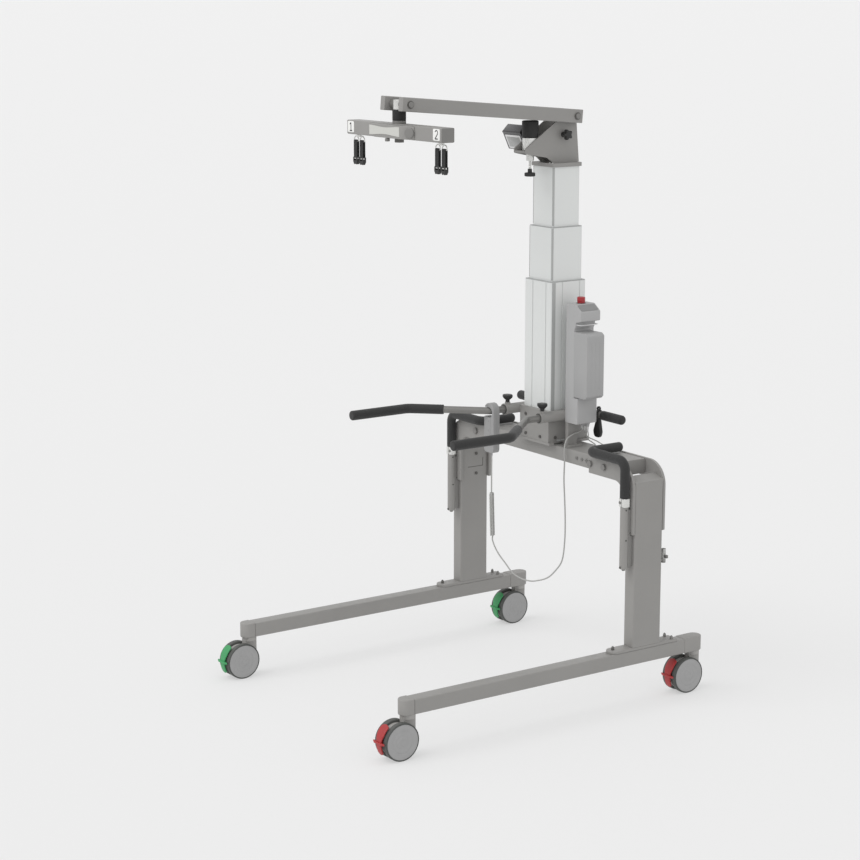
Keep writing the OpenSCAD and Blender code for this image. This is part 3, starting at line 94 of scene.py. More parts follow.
def unit(v):
    """A vector, or each row of vectors, divided by its length."""
    v = np.asarray(v, float)
    return v / np.linalg.norm(v, axis=-1, keepdims=True)


def arc(centre, radius, start, end, count=12):
    """Points on a circle: centre plus radius times cosine and sine, from start to end degrees."""
    a = np.radians(np.linspace(start, end, count))
    return np.asarray(centre, float) + radius * np.stack([np.cos(a), np.sin(a)], -1)


def rounded(corners, radii, steps=6):
    """A polygon whose corners become arcs: each touches its two sides at radius / tan(half angle)."""
    corners = np.asarray(corners, float)
    radii = np.broadcast_to(radii, len(corners))
    out = []
    for k, (p, r) in enumerate(zip(corners, radii)):
        if r <= 0:
            out.append(p[None])
            continue
        u, v = unit(corners[k - 1] - p), unit(corners[(k + 1) % len(corners)] - p)
        half = math.acos(np.clip(u @ v, -1, 1)) / 2
        centre = p + unit(u + v) * r / math.sin(half)
        s = p + u * r / math.tan(half) - centre
        turn = (math.pi - 2 * half) * np.sign(v[0] * u[1] - v[1] * u[0])
        a = np.linspace(0, 1, steps + 1) * turn
        ca, sa = np.cos(a), np.sin(a)
        out.append(centre + np.stack([s[0] * ca - s[1] * sa, s[0] * sa + s[1] * ca], -1))
    return np.vstack(out)


def rectangle(x0, x1, y0, y1, radius=0.0, steps=6):
    """A rectangle with rounded corners."""
    return rounded([[x0, y0], [x1, y0], [x1, y1], [x0, y1]], radius, steps)


def inset(outline, by):
    """An outline moved inwards: each point moves along the mean of its two sides' normals."""
    after = np.roll(outline, -1, 0)
    area = np.sum(outline[:, 0] * after[:, 1] - outline[:, 1] * after[:, 0])
    side = unit(after - outline)
    n = np.stack([side[:, 1], -side[:, 0]], -1) * np.sign(area)
    before = np.roll(n, 1, 0)
    return outline - by * (n + before) / (1 + np.sum(n * before, -1, keepdims=True)).clip(0.35)


def bent(points, radius, steps=12):
    """A path whose corners become arcs of that radius, each tangent to its two straights."""
    points = np.asarray(points, float)
    out = [points[:1]]
    for a, p, b in zip(points, points[1:], points[2:]):
        u, v = unit(p - a), unit(b - p)
        turn = math.acos(np.clip(u @ v, -1, 1))
        n = unit(v - (u @ v) * u)
        centre = p - radius * math.tan(turn / 2) * u + radius * n
        t = np.linspace(0, turn, steps + 1)[:, None]
        out.append(centre - radius * np.cos(t) * n + radius * np.sin(t) * u)
    return np.vstack(out + [points[-1:]])


# Shells: each function returns points and the faces between them


def between_rings(rings, count, ring=False):
    """Quads that join each ring's points to the next ring's."""
    i = np.arange(rings if ring else rings - 1)[:, None]
    k = np.arange(count)[None]
    j, m = (i + 1) % rings, (k + 1) % count
    quads = np.stack([i * count + k, i * count + m, j * count + m, j * count + k], -1)
    return quads.reshape(-1, 4).tolist()


def closed(points, rings, count):
    """Rings joined by quads, with the first and last ring filled."""
    faces = between_rings(rings, count)
    last = (rings - 1) * count
    return points, faces + [list(range(count))[::-1], list(range(last, last + count))]


def carried(path):
    """A path's directions, and a normal carried along it from point to point without twist."""
    t = unit(np.gradient(np.asarray(path, float), axis=0))
    normal = Z if abs(t[0] @ Z) < 0.9 else X
    normals = []
    for d in t:
        normal = unit(normal - (normal @ d) * d)
        normals.append(normal)
    return t, np.array(normals)


def tube(path, radius, sides=28):
    """Circles of the given radius round each point of a path, square to it."""
    path = np.asarray(path, float)
    r = np.broadcast_to(radius, len(path))[:, None, None]
    t, u = carried(path)
    w = np.cross(t, u)
    a = np.linspace(0, 2 * np.pi, sides, endpoint=False)[None, :, None]
    rings = path[:, None] + r * (np.cos(a) * u[:, None] + np.sin(a) * w[:, None])
    return closed(rings.reshape(-1, 3), len(path), sides)


def soft_tube(path, radius, first, last, sides=32, steps=6):
    """A tube with rounded ends: near an end the radius falls by end times (1 - sine of the angle)."""
    path = np.asarray(path, float)
    a = np.linspace(0, np.pi / 2, steps + 1)
    lead = path[0] + unit(path[1] - path[0]) * (first * (1 - np.cos(a)))[:, None]
    tail = path[-1] + unit(path[-2] - path[-1]) * (last * (1 - np.cos(a)))[::-1, None]
    radii = np.concatenate([radius - first * (1 - np.sin(a)), np.full(len(path) - 2, radius),
                            radius - last * (1 - np.sin(a[::-1]))])
    return tube(np.vstack([lead, path[1:-1], tail]), radii, sides)


def closed_wire(path, radius, sides=12):
    """A tube round a closed path in one plane."""
    path = np.asarray(path, float)
    t = unit(np.roll(path, -1, 0) - np.roll(path, 1, 0))
    w = np.broadcast_to(unit(np.cross(t[0], t[len(t) // 3])), t.shape)
    u = np.cross(w, t)
    a = np.linspace(0, 2 * np.pi, sides, endpoint=False)[None, :, None]
    rings = path[:, None] + radius * (np.cos(a) * u[:, None] + np.sin(a) * w[:, None])
    return rings.reshape(-1, 3), between_rings(len(path), sides, ring=True)


def turned(profile, origin, axis, sides=48, ring=False, lobes=0, depth=0.0):
    """A profile of (radius, height) turned about an axis. With lobes, the radius swells by depth
    times the cosine of lobes times the angle, in step with the profile's third column."""
    profile = np.asarray(profile, float)
    axis = unit(axis)
    u = unit(np.cross(axis, X if abs(axis @ X) < 0.9 else Z))
    w = np.cross(axis, u)
    a = np.linspace(0, 2 * np.pi, sides, endpoint=False)
    share = profile[:, 2] if profile.shape[1] > 2 else np.zeros(len(profile))
    r = profile[:, 0, None] * (1 + share[:, None] * depth * np.cos(lobes * a)[None])
    rings = (np.asarray(origin, float) + profile[:, 1, None, None] * axis
             + r[..., None] * (np.cos(a)[:, None] * u + np.sin(a)[:, None] * w))
    if ring:
        return rings.reshape(-1, 3), between_rings(len(profile), sides, ring=True)
    return closed(rings.reshape(-1, 3), len(profile), sides)


def dome(radius, low, high, edge, steps=5):
    """The profile of a cylinder from low to high whose rims are rounded by edge."""
    a = np.linspace(0, np.pi / 2, steps + 1)
    r = radius - edge * (1 - np.sin(a))
    h = edge * (1 - np.cos(a))
    return np.concatenate([np.stack([r, low + h], -1), np.stack([r, high - h], -1)[::-1]])


def rod(radius, low, high, edge, origin, axis, sides):
    """A cylinder from low to high along an axis, its rims rounded by edge."""
    return turned(dome(radius, low, high, edge), origin, axis, sides)


def hoop(profile, origin, axis, sides):
    """A closed profile turned about an axis."""
    return turned(profile, origin, axis, sides, ring=True)


def raised(outline, height, axis):
    """A flat outline placed across axis 0, 1 or 2 at a height."""
    return np.insert(outline, axis, height, axis=1)


def slab(outline, low, high, axis, edge=1.0, steps=4):
    """An outline carried from low to high; at the ends it moves in by edge times (1 - sine)."""
    outline = np.asarray(outline, float)
    a = np.linspace(0, np.pi / 2, steps + 1)
    ins, h = edge * (1 - np.sin(a)), edge * (1 - np.cos(a))
    rings = [raised(inset(outline, i), low + d, axis) for i, d in zip(ins, h)]
    rings += [raised(inset(outline, i), high - d, axis) for i, d in zip(ins[::-1], h[::-1])]
    return closed(np.vstack(rings), len(rings), len(outline))


def pipe(outer, inner, low, high, axis, edge=0.8):
    """A hollow bar: the outer outline from low to high, then back along the inner one."""
    rings = [raised(inset(outer, edge), low, axis), raised(outer, low + edge, axis),
             raised(outer, high - edge, axis), raised(inset(outer, edge), high, axis),
             raised(inner, high, axis), raised(inner, low, axis)]
    return np.vstack(rings), between_rings(len(rings), len(outer), ring=True)


def block(low, high, corner=2.0, edge=1.0, axis=2):
    """A box with rounded corners seen along axis and rounded rims across it."""
    low, high = np.asarray(low, float), np.asarray(high, float)
    a, b = [k for k in range(3) if k != axis]
    return slab(rectangle(low[a], high[a], low[b], high[b], corner), low[axis], high[axis], axis, edge)


def band(sections, outline):
    """An outline (a, b) carried through sections of (origin, a direction, b direction)."""
    origin, a, b = (np.asarray([s[k] for s in sections], float) for k in range(3))
    rings = origin[:, None] + outline[None, :, :1] * a[:, None] + outline[None, :, 1:] * b[:, None]
    return closed(rings.reshape(-1, 3), len(origin), len(outline))


def moved(shell, change):
    """A shell whose points are changed by a function."""
    return change(shell[0]), shell[1]


def outward(points, faces):
    """Faces that point out: the volume they enclose, a sum of corner tetrahedra, is positive."""
    triangles = np.array([(q[0], q[k], q[k + 1]) for q in faces for k in range(1, len(q) - 1)])
    p = points - points.mean(0)
    a, b, c = (p[triangles[:, k]] for k in range(3))
    return faces if np.sum(a * np.cross(b, c)) > 0 else [q[::-1] for q in faces]


# Finishes


def linear(colour):
    """A colour as seen on a screen, made linear."""
    c = np.asarray(colour, float)
    return tuple(np.where(c <= 0.04045, c / 12.92, ((c + 0.055) / 1.055) ** 2.4)) + (1.0,)


def added(tree, kind, inputs=None, **settings):
    """A new shader node with its settings and the plain values of its inputs."""
    node = tree.nodes.new("ShaderNode" + kind)
    for key, value in settings.items():
        setattr(node, key, value)
    for key, value in (inputs or {}).items():
        node.inputs[key].default_value = value
    return node


def finish(name, colour, rough, metal=0.0, tint=0.05, patch=7.0, grain=900.0, height=0.05,
           stretch=(1, 1, 1), edge_light=0.0, soften=0.0, coat=0.0, sheen=0.0, spread=0.06):
    """A surface: colour varies in soft patches by tint, roughness by spread, and a fine grain of
    bump lies over it. worn lightens rounded edges as a painted highlight, soften rounds them
    in the shading."""
    mat = bpy.data.materials.new(name)
    mat.use_nodes = True
    tree = mat.node_tree
    links = tree.links
    shader = tree.nodes["Principled BSDF"]
    shader.inputs["Metallic"].default_value = metal
    shader.inputs["Coat Weight"].default_value = coat
    shader.inputs["Sheen Weight"].default_value = sheen
    place = added(tree, "TexCoord")
    scale = added(tree, "Mapping", {"Scale": stretch})
    links.new(place.outputs["Object"], scale.inputs["Vector"])

    def noise(size, detail):
        """A noise value over the object's own coordinates."""
        node = added(tree, "TexNoise", {"Scale": size, "Detail": detail})
        links.new(scale.outputs["Vector"], node.inputs["Vector"])
        return node.outputs["Fac"]

    base = np.asarray(colour, float)
    mix = added(tree, "Mix", {"A": linear(base * (1 - tint)),
                              "B": linear(np.minimum(base * (1 + tint), 1))}, data_type="RGBA")
    links.new(noise(patch, 3.0), mix.inputs["Factor"])
    out = mix.outputs["Result"]
    span = added(tree, "MapRange", {"From Min": 0.3, "From Max": 0.7, "To Min": rough - spread,
                                    "To Max": rough + spread})
    links.new(noise(patch * 5, 4.0), span.inputs["Value"])
    links.new(span.outputs["Result"], shader.inputs["Roughness"])
    bump = added(tree, "Bump", {"Strength": 0.5, "Distance": height * MM})
    links.new(noise(grain, 2.0), bump.inputs["Height"])
    if soften or edge_light:
        bevel = added(tree, "Bevel", {"Radius": max(soften, edge_light) * MM}, samples=4)
        if soften:
            links.new(bevel.outputs["Normal"], bump.inputs["Normal"])
        # Painted highlight: where the bevelled normal turns away from the flat one, the colour is mixed
        # towards 1.25 times itself.
        if edge_light:
            flat = added(tree, "NewGeometry")
            dot = added(tree, "VectorMath", operation="DOT_PRODUCT")
            links.new(bevel.outputs["Normal"], dot.inputs[0])
            links.new(flat.outputs["Normal"], dot.inputs[1])
            edge = added(tree, "MapRange", {"From Min": 0.98, "From Max": 0.75, "To Max": 0.35})
            links.new(dot.outputs["Value"], edge.inputs["Value"])
            rub = added(tree, "Mix", {"B": linear(np.minimum(base * 1.25, 1))}, data_type="RGBA")
            links.new(out, rub.inputs["A"])
            links.new(edge.outputs["Result"], rub.inputs["Factor"])
            out = rub.outputs["Result"]
    links.new(out, shader.inputs["Base Color"])
    links.new(bump.outputs["Normal"], shader.inputs["Normal"])
    return mat


def webbing(name, colour):
    """Woven tape: two crossed waves of yarn, one along the tape and one across it, make the bump."""
    mat = finish(name, colour, 0.8, tint=0.12, patch=60, grain=2500, height=0.1, sheen=0.12)
    tree = mat.node_tree
    place = next(n for n in tree.nodes if n.type == "TEX_COORD")
    weave = added(tree, "Math", operation="MULTIPLY")
    for k, (direction, count) in enumerate((("X", 260.0), ("Z", 330.0))):
        wave = added(tree, "TexWave", {"Scale": count, "Distortion": 0.6}, bands_direction=direction)
        tree.links.new(place.outputs["Object"], wave.inputs["Vector"])
        tree.links.new(wave.outputs["Fac"], weave.inputs[k])
    bump = added(tree, "Bump", {"Strength": 0.6, "Distance": 0.3 * MM})
    tree.links.new(weave.outputs["Value"], bump.inputs["Height"])
    tree.links.new(bump.outputs["Normal"], tree.nodes["Principled BSDF"].inputs["Normal"])
    return mat


@functools.cache
def finishes():
    """Every finish of the object, by name, in the colours of the panel."""
    c = bpy.context.scene.support_colours
    grey, pale = np.array(c.frame_paint), np.array(c.pale_plastic)
    black, silver = np.array(c.black_plastic), np.array(c.column_silver)
    painted = {"tint": 0.03, "grain": 1400, "height": 0.04}
    smooth = {"tint": 0.03, "grain": 2200, "height": 0.05}
    moulded = {"tint": 0.025, "grain": 2600, "height": 0.06}
    dyed = {"tint": 0.05, "patch": 40, "grain": 2200, "height": 0.05}
    drawn = {"tint": 0.03, "grain": 1800, "height": 0.02}
    steel = {"patch": 12, "grain": 900, "height": 0.003, "soften": 0.6}
    return {
        # The frame paint carries a painted highlight on its rounded edges.
        "paint": finish("paint_grey", grey, 0.42, edge_light=0.8, soften=1.2, **painted),
        "rail": finish("rail_paint", grey * 0.88, 0.5, soften=1.0, **painted),
        "cap": finish("cap_plastic", grey * 1.02, 0.5, **smooth),
        "plug": finish("end_plug", grey * 0.86, 0.52, **smooth),
        "housing": finish("caster_housing", grey * 1.1, 0.5, tint=0.04, grain=2200, height=0.05,
                          soften=1.5),
        "pale": finish("moulded_pale", pale, 0.48, **moulded),
        "case": finish("handset_grey", pale * 0.88, 0.5, **moulded),
        "pack": finish("battery_shell", pale * 0.955, 0.48, **moulded),
        "shade": finish("plastic_groove", pale * 0.80, 0.5, tint=0.03, grain=2200, height=0.04),
        "white": finish("white_plastic", (0.84, 0.84, 0.84), 0.4, tint=0.02, grain=2600, height=0.03),
        "silver": finish("anodised_silver", silver, 0.42, metal=0.1, tint=0.02, patch=3, grain=700,
                         height=0.02, stretch=(1, 1, 0.02), soften=0.8),
        # Painted shade and dark reflection: darker silvers for the column's grooves, its rounded corners
        # and the gaps at its stage tops.
        "groove": finish("column_groove_shade", silver * 0.77, 0.5, **drawn),
        "edge": finish("column_faint_groove_shade", silver * 0.86, 0.45, **drawn),
        "steel": finish("polished_steel", (0.86, 0.86, 0.85), 0.28, metal=0.7, tint=0.04, **steel),
        "bright": finish("bright_steel", (0.93, 0.93, 0.92), 0.3, metal=0.35, tint=0.03, **steel),
        "satin": finish("satin_steel", (0.50, 0.495, 0.485), 0.36, metal=0.35, patch=10, grain=1200,
                        height=0.006, soften=0.8),
        # Plated bolts, nuts and washers; the same finish paints the shadow lines on the uprights.
        "zinc": finish("zinc_plated_and_painted_shadow", (0.38, 0.375, 0.365), 0.42, metal=0.3, tint=0.15, patch=120,
                       grain=1500, height=0.03, soften=0.6),
        "socket": finish("socket_tube", (0.74, 0.74, 0.73), 0.4, metal=0.2, patch=40, grain=1500,
                         height=0.02, soften=0.6),
        # Dark screw heads, and painted shade in slots and in the sockets' mouths.
        "spot": finish("screw_dark_and_painted_shade", (0.30, 0.30, 0.29), 0.5, tint=0.08, patch=90, grain=1500,
                       height=0.03),
        "black": finish("moulded_black", black, 0.42, tint=0.1, patch=20, grain=2200, height=0.06,
                        soften=0.8),
        "foam": finish("grip_foam", black * 1.05, 0.72, tint=0.14, patch=180, grain=1600, height=0.35,
                       sheen=0.15),
        "rubber": finish("bumper_rubber", black * 0.8, 0.6, tint=0.1, patch=40, grain=1800, height=0.12),
        "tyre": finish("tyre_rubber", (0.335, 0.34, 0.33), 0.62, tint=0.08, patch=50, grain=1500,
                       height=0.1),
        "rim": finish("tyre_edge", (0.29, 0.30, 0.29), 0.6, tint=0.06, patch=50, grain=1500, height=0.08),
        "disc": finish("wheel_disc", c.wheel_disc, 0.46, patch=30, **smooth),
        "red": finish("red_plastic", c.right_pedal, 0.42, **dyed),
        "green": finish("green_plastic", c.left_pedal, 0.42, **dyed),
        "button": finish("button_gloss", (0.64, 0.11, 0.14), 0.34, tint=0.03, patch=60, grain=2600,
                         height=0.03, coat=0.3),
        "cord": finish("cord_sheath", (0.66, 0.66, 0.65), 0.45, tint=0.04, patch=60, grain=2600,
                       height=0.04),
        "web": webbing("woven_tape", (0.075, 0.075, 0.075)),
        "thread": finish("stitch_thread", (0.30, 0.30, 0.30), 0.7, patch=300, grain=3000, height=0.08),
        "screen": finish("display_glass", (0.585, 0.59, 0.585), 0.16, tint=0.03, patch=25, grain=500,
                         height=0.004, coat=0.4),
        "smoke": finish("dark_cover", (0.21, 0.21, 0.22), 0.25, tint=0.06, patch=20, height=0.01,
                        coat=0.3),
        "plate": finish("bare_plaque", (0.80, 0.80, 0.78), 0.36, metal=0.2, tint=0.04, patch=9,
                        grain=1100, height=0.02, stretch=(0.05, 1, 1)),
        "label": finish("white_label", (0.93, 0.93, 0.92), 0.5, tint=0.02, patch=30, grain=1800,
                        height=0.02),
        "ink": finish("numeral_ink", (0.16, 0.16, 0.16), 0.5, patch=50, grain=1800, height=0.01),
    }


def piece(name, parts, body, replaces=(), angle=38.0):
    """One object from (shell, finish) pairs, riding on a body and standing for CAD nodes."""
    made = finishes()
    used = list(dict.fromkeys(kind for _, kind in parts))
    points, faces, kinds = [], [], []
    count = 0
    for (v, f), kind in parts:
        v = in_metres(v)
        f = outward(v, f)
        points.append(v)
        faces += [[i + count for i in q] for q in f]
        kinds += [used.index(kind)] * len(f)
        count += len(v)
    mesh = bpy.data.meshes.new(name)
    mesh.from_pydata(np.vstack(points).tolist(), [], faces)
    for kind in used:
        mesh.materials.append(made[kind])
    mesh.polygons.foreach_set("material_index", kinds)
    mesh.polygons.foreach_set("use_smooth", [True] * len(faces))
    mesh.set_sharp_from_angle(angle=math.radians(angle))
    mesh.update()
    obj = bpy.data.objects.new(name, mesh)
    bpy.context.scene.collection.objects.link(obj)
    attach(obj, body)
    if replaces:
        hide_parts(*replaces)
    return obj


def coat_nodes(kind, *names):
    """Gives CAD nodes whose shape is right their finish."""
    for name in names:
        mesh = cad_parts[name].data
        mesh.materials.clear()
        mesh.materials.append(finishes()[kind])


# Settings


def length(name, description, default, low, high):
    """A panel length in metres whose default is given in millimetres."""
    return bpy.props.FloatProperty(name=name, description=description, default=default * MM,
                                   min=low * MM, max=high * MM, unit="LENGTH")


def tone(name, description, default):
    """A panel colour as seen on a screen."""
    return bpy.props.FloatVectorProperty(name=name, description=description, default=default, size=3,
                                         min=0.0, max=1.0, subtype="COLOR_GAMMA")


class SupportSizes(bpy.types.PropertyGroup):
    """Sizes that can be changed in the panel"""

    wheel: length("Wheel", "Diameter of a caster wheel", 125, 100, 125)
    handlebar_grip: length("Handlebar grip", "Diameter of the front grips", 34, 28, 34)
    handle_grip: length("Handle grip", "Diameter of the push and rear grips", 33, 28, 33)
    webbing: length("Webbing", "Width of a strap", 20, 18, 21)
    cord: length("Cord", "Diameter of the handset's cord", 5, 4, 5)
    rim: length("Stage rim", "Height of the dark rim on top of a column stage", 2.5, 1, 4)


class SupportColours(bpy.types.PropertyGroup):
    """Colours that can be changed in the panel"""

    frame_paint: tone("Frame paint", "Legs, uprights, beam and boom", (0.568, 0.562, 0.552))
    pale_plastic: tone("Pale plastic", "Control box, battery and handset", (0.67, 0.67, 0.67))
    column_silver: tone("Column", "Anodised column stages", (0.86, 0.868, 0.863))
    black_plastic: tone("Black plastic", "Grips, knobs and lever", (0.14, 0.14, 0.14))
    wheel_disc: tone("Wheel disc", "Caster wheel discs", (0.62, 0.62, 0.62))
    left_pedal: tone("Left pedals", "Brake pedals on the left", (0.235, 0.59, 0.36))
    right_pedal: tone("Right pedals", "Brake pedals on the right", (0.65, 0.19, 0.195))


# The stage


class SUPPORT_OT_stage(bpy.types.Operator):
    """Floor, soft light, and the camera at the photograph's angle"""

    bl_idname = "support.stage"
    bl_label = "Stage"

    def execute(self, context):
        scene = context.scene
        scene.view_settings.view_transform = "Standard"
        lens = bpy.data.cameras.new("camera")
        lens.lens = 89.65
        lens.sensor_width = 36.0
        lens.clip_end = 2000.0
        camera = bpy.data.objects.new("camera", lens)
        camera.location = (5.8442, -4.1414, 2.3844)
        camera.rotation_euler = (math.radians(90 - 11.67), 0.0, math.radians(55.47))
        scene.collection.objects.link(camera)
        scene.camera = camera
        half = 900.0
        mesh = bpy.data.meshes.new("floor")
        mesh.from_pydata([(-half, -half, 0), (half, -half, 0), (half, half, 0), (-half, half, 0)], [],
                         [(0, 1, 2, 3)])
        white = finish("floor_white", (0.62, 0.62, 0.62), 0.9, tint=0.0, spread=0.02)
        glow = white.node_tree.nodes["Principled BSDF"].inputs
        glow["Emission Color"].default_value = (1.0, 1.0, 1.0, 1.0)
        glow["Emission Strength"].default_value = 0.465
        mesh.materials.append(white)
        floor = bpy.data.objects.new("floor", mesh)
        scene.collection.objects.link(floor)
        world = bpy.data.worlds.new("studio")
        scene.world = world
        world.use_nodes = True
        sky = world.node_tree.nodes["Background"]
        sky.inputs["Color"].default_value = (1.0, 1.0, 1.0, 1.0)
        sky.inputs["Strength"].default_value = 0.76
        for name, power, spread, turn in (("key", 1.05, 40.0, (40.0, 0.0, -12.0)),
                                          ("fill", 0.25, 60.0, (50.0, 0.0, 70.0))):
            lamp = bpy.data.lights.new(name, "SUN")
            lamp.energy = power
            lamp.angle = math.radians(spread)
            obj = bpy.data.objects.new(name, lamp)
            obj.rotation_euler = tuple(math.radians(t) for t in turn)
            scene.collection.objects.link(obj)
        return {"FINISHED"}


# Cords


CURL_TOP, CURL_BOTTOM = np.array([-112, 219, 640.0]), np.array([-107, 221, 472.0])
CURLS, CURL_D, CURL_OUTER, CURL_EASE = 30, 4.4, 18.0, 0.02
CORD_UPPER = [[-100, 210, 790], [-100, 210, 779], [-100, 210, 768], [-101, 211, 753],
              [-104, 213, 732], [-108, 216, 700], [-112, 219, 654], [-112, 219, 640]]
CORD_LOWER = [[-107, 221, 472], [-107, 221, 462], [-98, 225, 438], [-82, 232, 412], [-59, 242, 385],
              [-32, 253, 355], [-2, 266, 339], [26, 278, 334], [54, 290, 337], [98, 309, 355],
              [130, 322, 388], [153, 332, 429], [161, 336, 500], [162, 336, 574], [159, 335, 645],
              [156, 333, 716], [158, 333, 784], [157, 333, 824], [152, 345, 856], [142, 384, 870],
              [140, 408, 873], [134, 424, 880], [132, 428, 888], [132, 428, 893],
              [132, 428, 906]]
GLAND_X, GLAND_Y, GLAND_LOW, BORE_END = (132.0, 148.0, 164.0), 428.0, 895.0, 906.0
LEAD_END_Y, BEAM_TOP = 430.0, 826.0
LEADS = (("upper", 148.0, 276.0, 0.178), ("lower", 164.0, 208.0, 0.106))


def eased(points, steps):
    """A smooth curve through points: between two of them a cubic whose slopes follow the
    neighbours, as in the CAD drawing."""
    p = np.asarray(points, float)
    padded = np.vstack([p[:1], p, p[-1:]])
    a, b, c, d = (padded[k:len(p) - 1 + k, None] for k in range(4))
    t = (np.arange(steps) / steps)[None, :, None]
    q = 0.5 * (2 * b + (c - a) * t + (2 * a - 5 * b + 4 * c - d) * t**2 + (3 * b - a - 3 * c + d) * t**3)
    return np.vstack([q.reshape(-1, 3), p[-1:]])


def curl_path(per_turn=14):
    """The helix of the curly stretch, opening to its full radius at both ends."""
    along = CURL_BOTTOM - CURL_TOP
    axis, run = unit(along), np.linalg.norm(along) - 2 * CURL_D
    u = unit(X - axis[0] * axis)
    w = np.cross(axis, u)
    t = np.linspace(0, 1, per_turn * CURLS + 1)[:, None]
    r = (CURL_OUTER - CURL_D) / 2 * np.minimum(1, np.minimum(t, 1 - t) / CURL_EASE)
    a = 2 * np.pi * t * CURLS
    return CURL_TOP + axis * (CURL_D + run * t) + r * (np.cos(a) * u + np.sin(a) * w)


def lead_path(start, end, step):
    """A thin lead from its gland down and across to its grommet in the cross beam."""
    drop, across = 85.0, end - start
    return eased([[start, GLAND_Y, BORE_END - 0.1], [start, GLAND_Y, 893], [start, GLAND_Y, 885],
                  [start + 4, GLAND_Y, 911 - drop * 0.5],
                  [start + 0.16 * across, GLAND_Y, 911 - drop * (0.62 + 0.1 * step)],
                  [start + 0.5 * across, LEAD_END_Y, 852 - 8 * step],
                  [start + 0.8 * across, LEAD_END_Y, 844 - 4 * step], [end - 5, LEAD_END_Y, 839],
                  [end, LEAD_END_Y, 832], [end, LEAD_END_Y, BEAM_TOP]], 8)


class SUPPORT_OT_cords(bpy.types.Operator):
    """The handset's cord, the two thin leads, and their glands and grommets"""

    bl_idname = "support.cords"
    bl_label = "Cords and glands"

    def execute(self, context):
        size = context.scene.support_sizes
        upper, curl, lower = eased(CORD_UPPER, 8)[:-1], curl_path(), eased(CORD_LOWER, 8)[1:]
        path = np.vstack([upper, CURL_TOP[None], curl, CURL_BOTTOM[None], lower])
        radii = np.full(len(path), size.cord / MM / 2)
        radii[len(upper) + 1:len(upper) + 1 + len(curl)] = CURL_D / 2
        cord = piece("handset_cord_run", [(tube(path, radii, 12), "cord")], "frame",
                     ("handset_cord", "curly_cord"))
        for step, (name, start, end, real) in enumerate(LEADS):
            path = lead_path(start, end, step)
            lead = piece(f"battery_lead_{name}", [(tube(path, 2.0, 12), "cord")], "frame",
                         ("cable_glands",))
        parts = []
        gland = [[2.7, 0], [4.6, 0], [5.6, 3], [6, 8], [6, 16], [2.7, 16]]
        nut = [[6, 9], [7.6, 9], [7.9, 9.6], [7.9, 13.4], [7.6, 14], [6, 14]]
        for x in GLAND_X:
            at = [x, GLAND_Y, GLAND_LOW]
            bore = 2.1 if x > GLAND_X[0] else 2.65
            cuff = [[4.4, 0.4], [4.1, -2], [bore + 0.7, -16], [bore, -16], [bore, 0.4]]
            parts += [(hoop(gland, at, Z, 32), "pale"), (hoop(nut, at, Z, 6), "pale"),
                      (hoop(cuff, at, Z, 32), "white")]
        grommet = [[2.6, 0], [7, 0], [6.8, 2], [4.6, 4.8], [2.6, 4.8]]
        parts += [(hoop(grommet, [end, LEAD_END_Y, BEAM_TOP], Z, 32), "shade") for _, _, end, _ in LEADS]
        ribs = [[3.1 + 0.9 * (z - 770) / 14 - (0.5 if k % 2 else 0), z]
                for k, z in enumerate(np.linspace(771, 784, 14))]
        relief = [[2.65, 770], [3.1, 770], *ribs, [4, 785], [4, 792], [2.65, 792]]
        parts.append((hoop(relief, [HANDSET[0], HANDSET[1], 0], Z, 32), "pale"))
        piece("cable_fittings", parts, "frame", ("cable_glands",))
        return {"FINISHED"}


# Casters


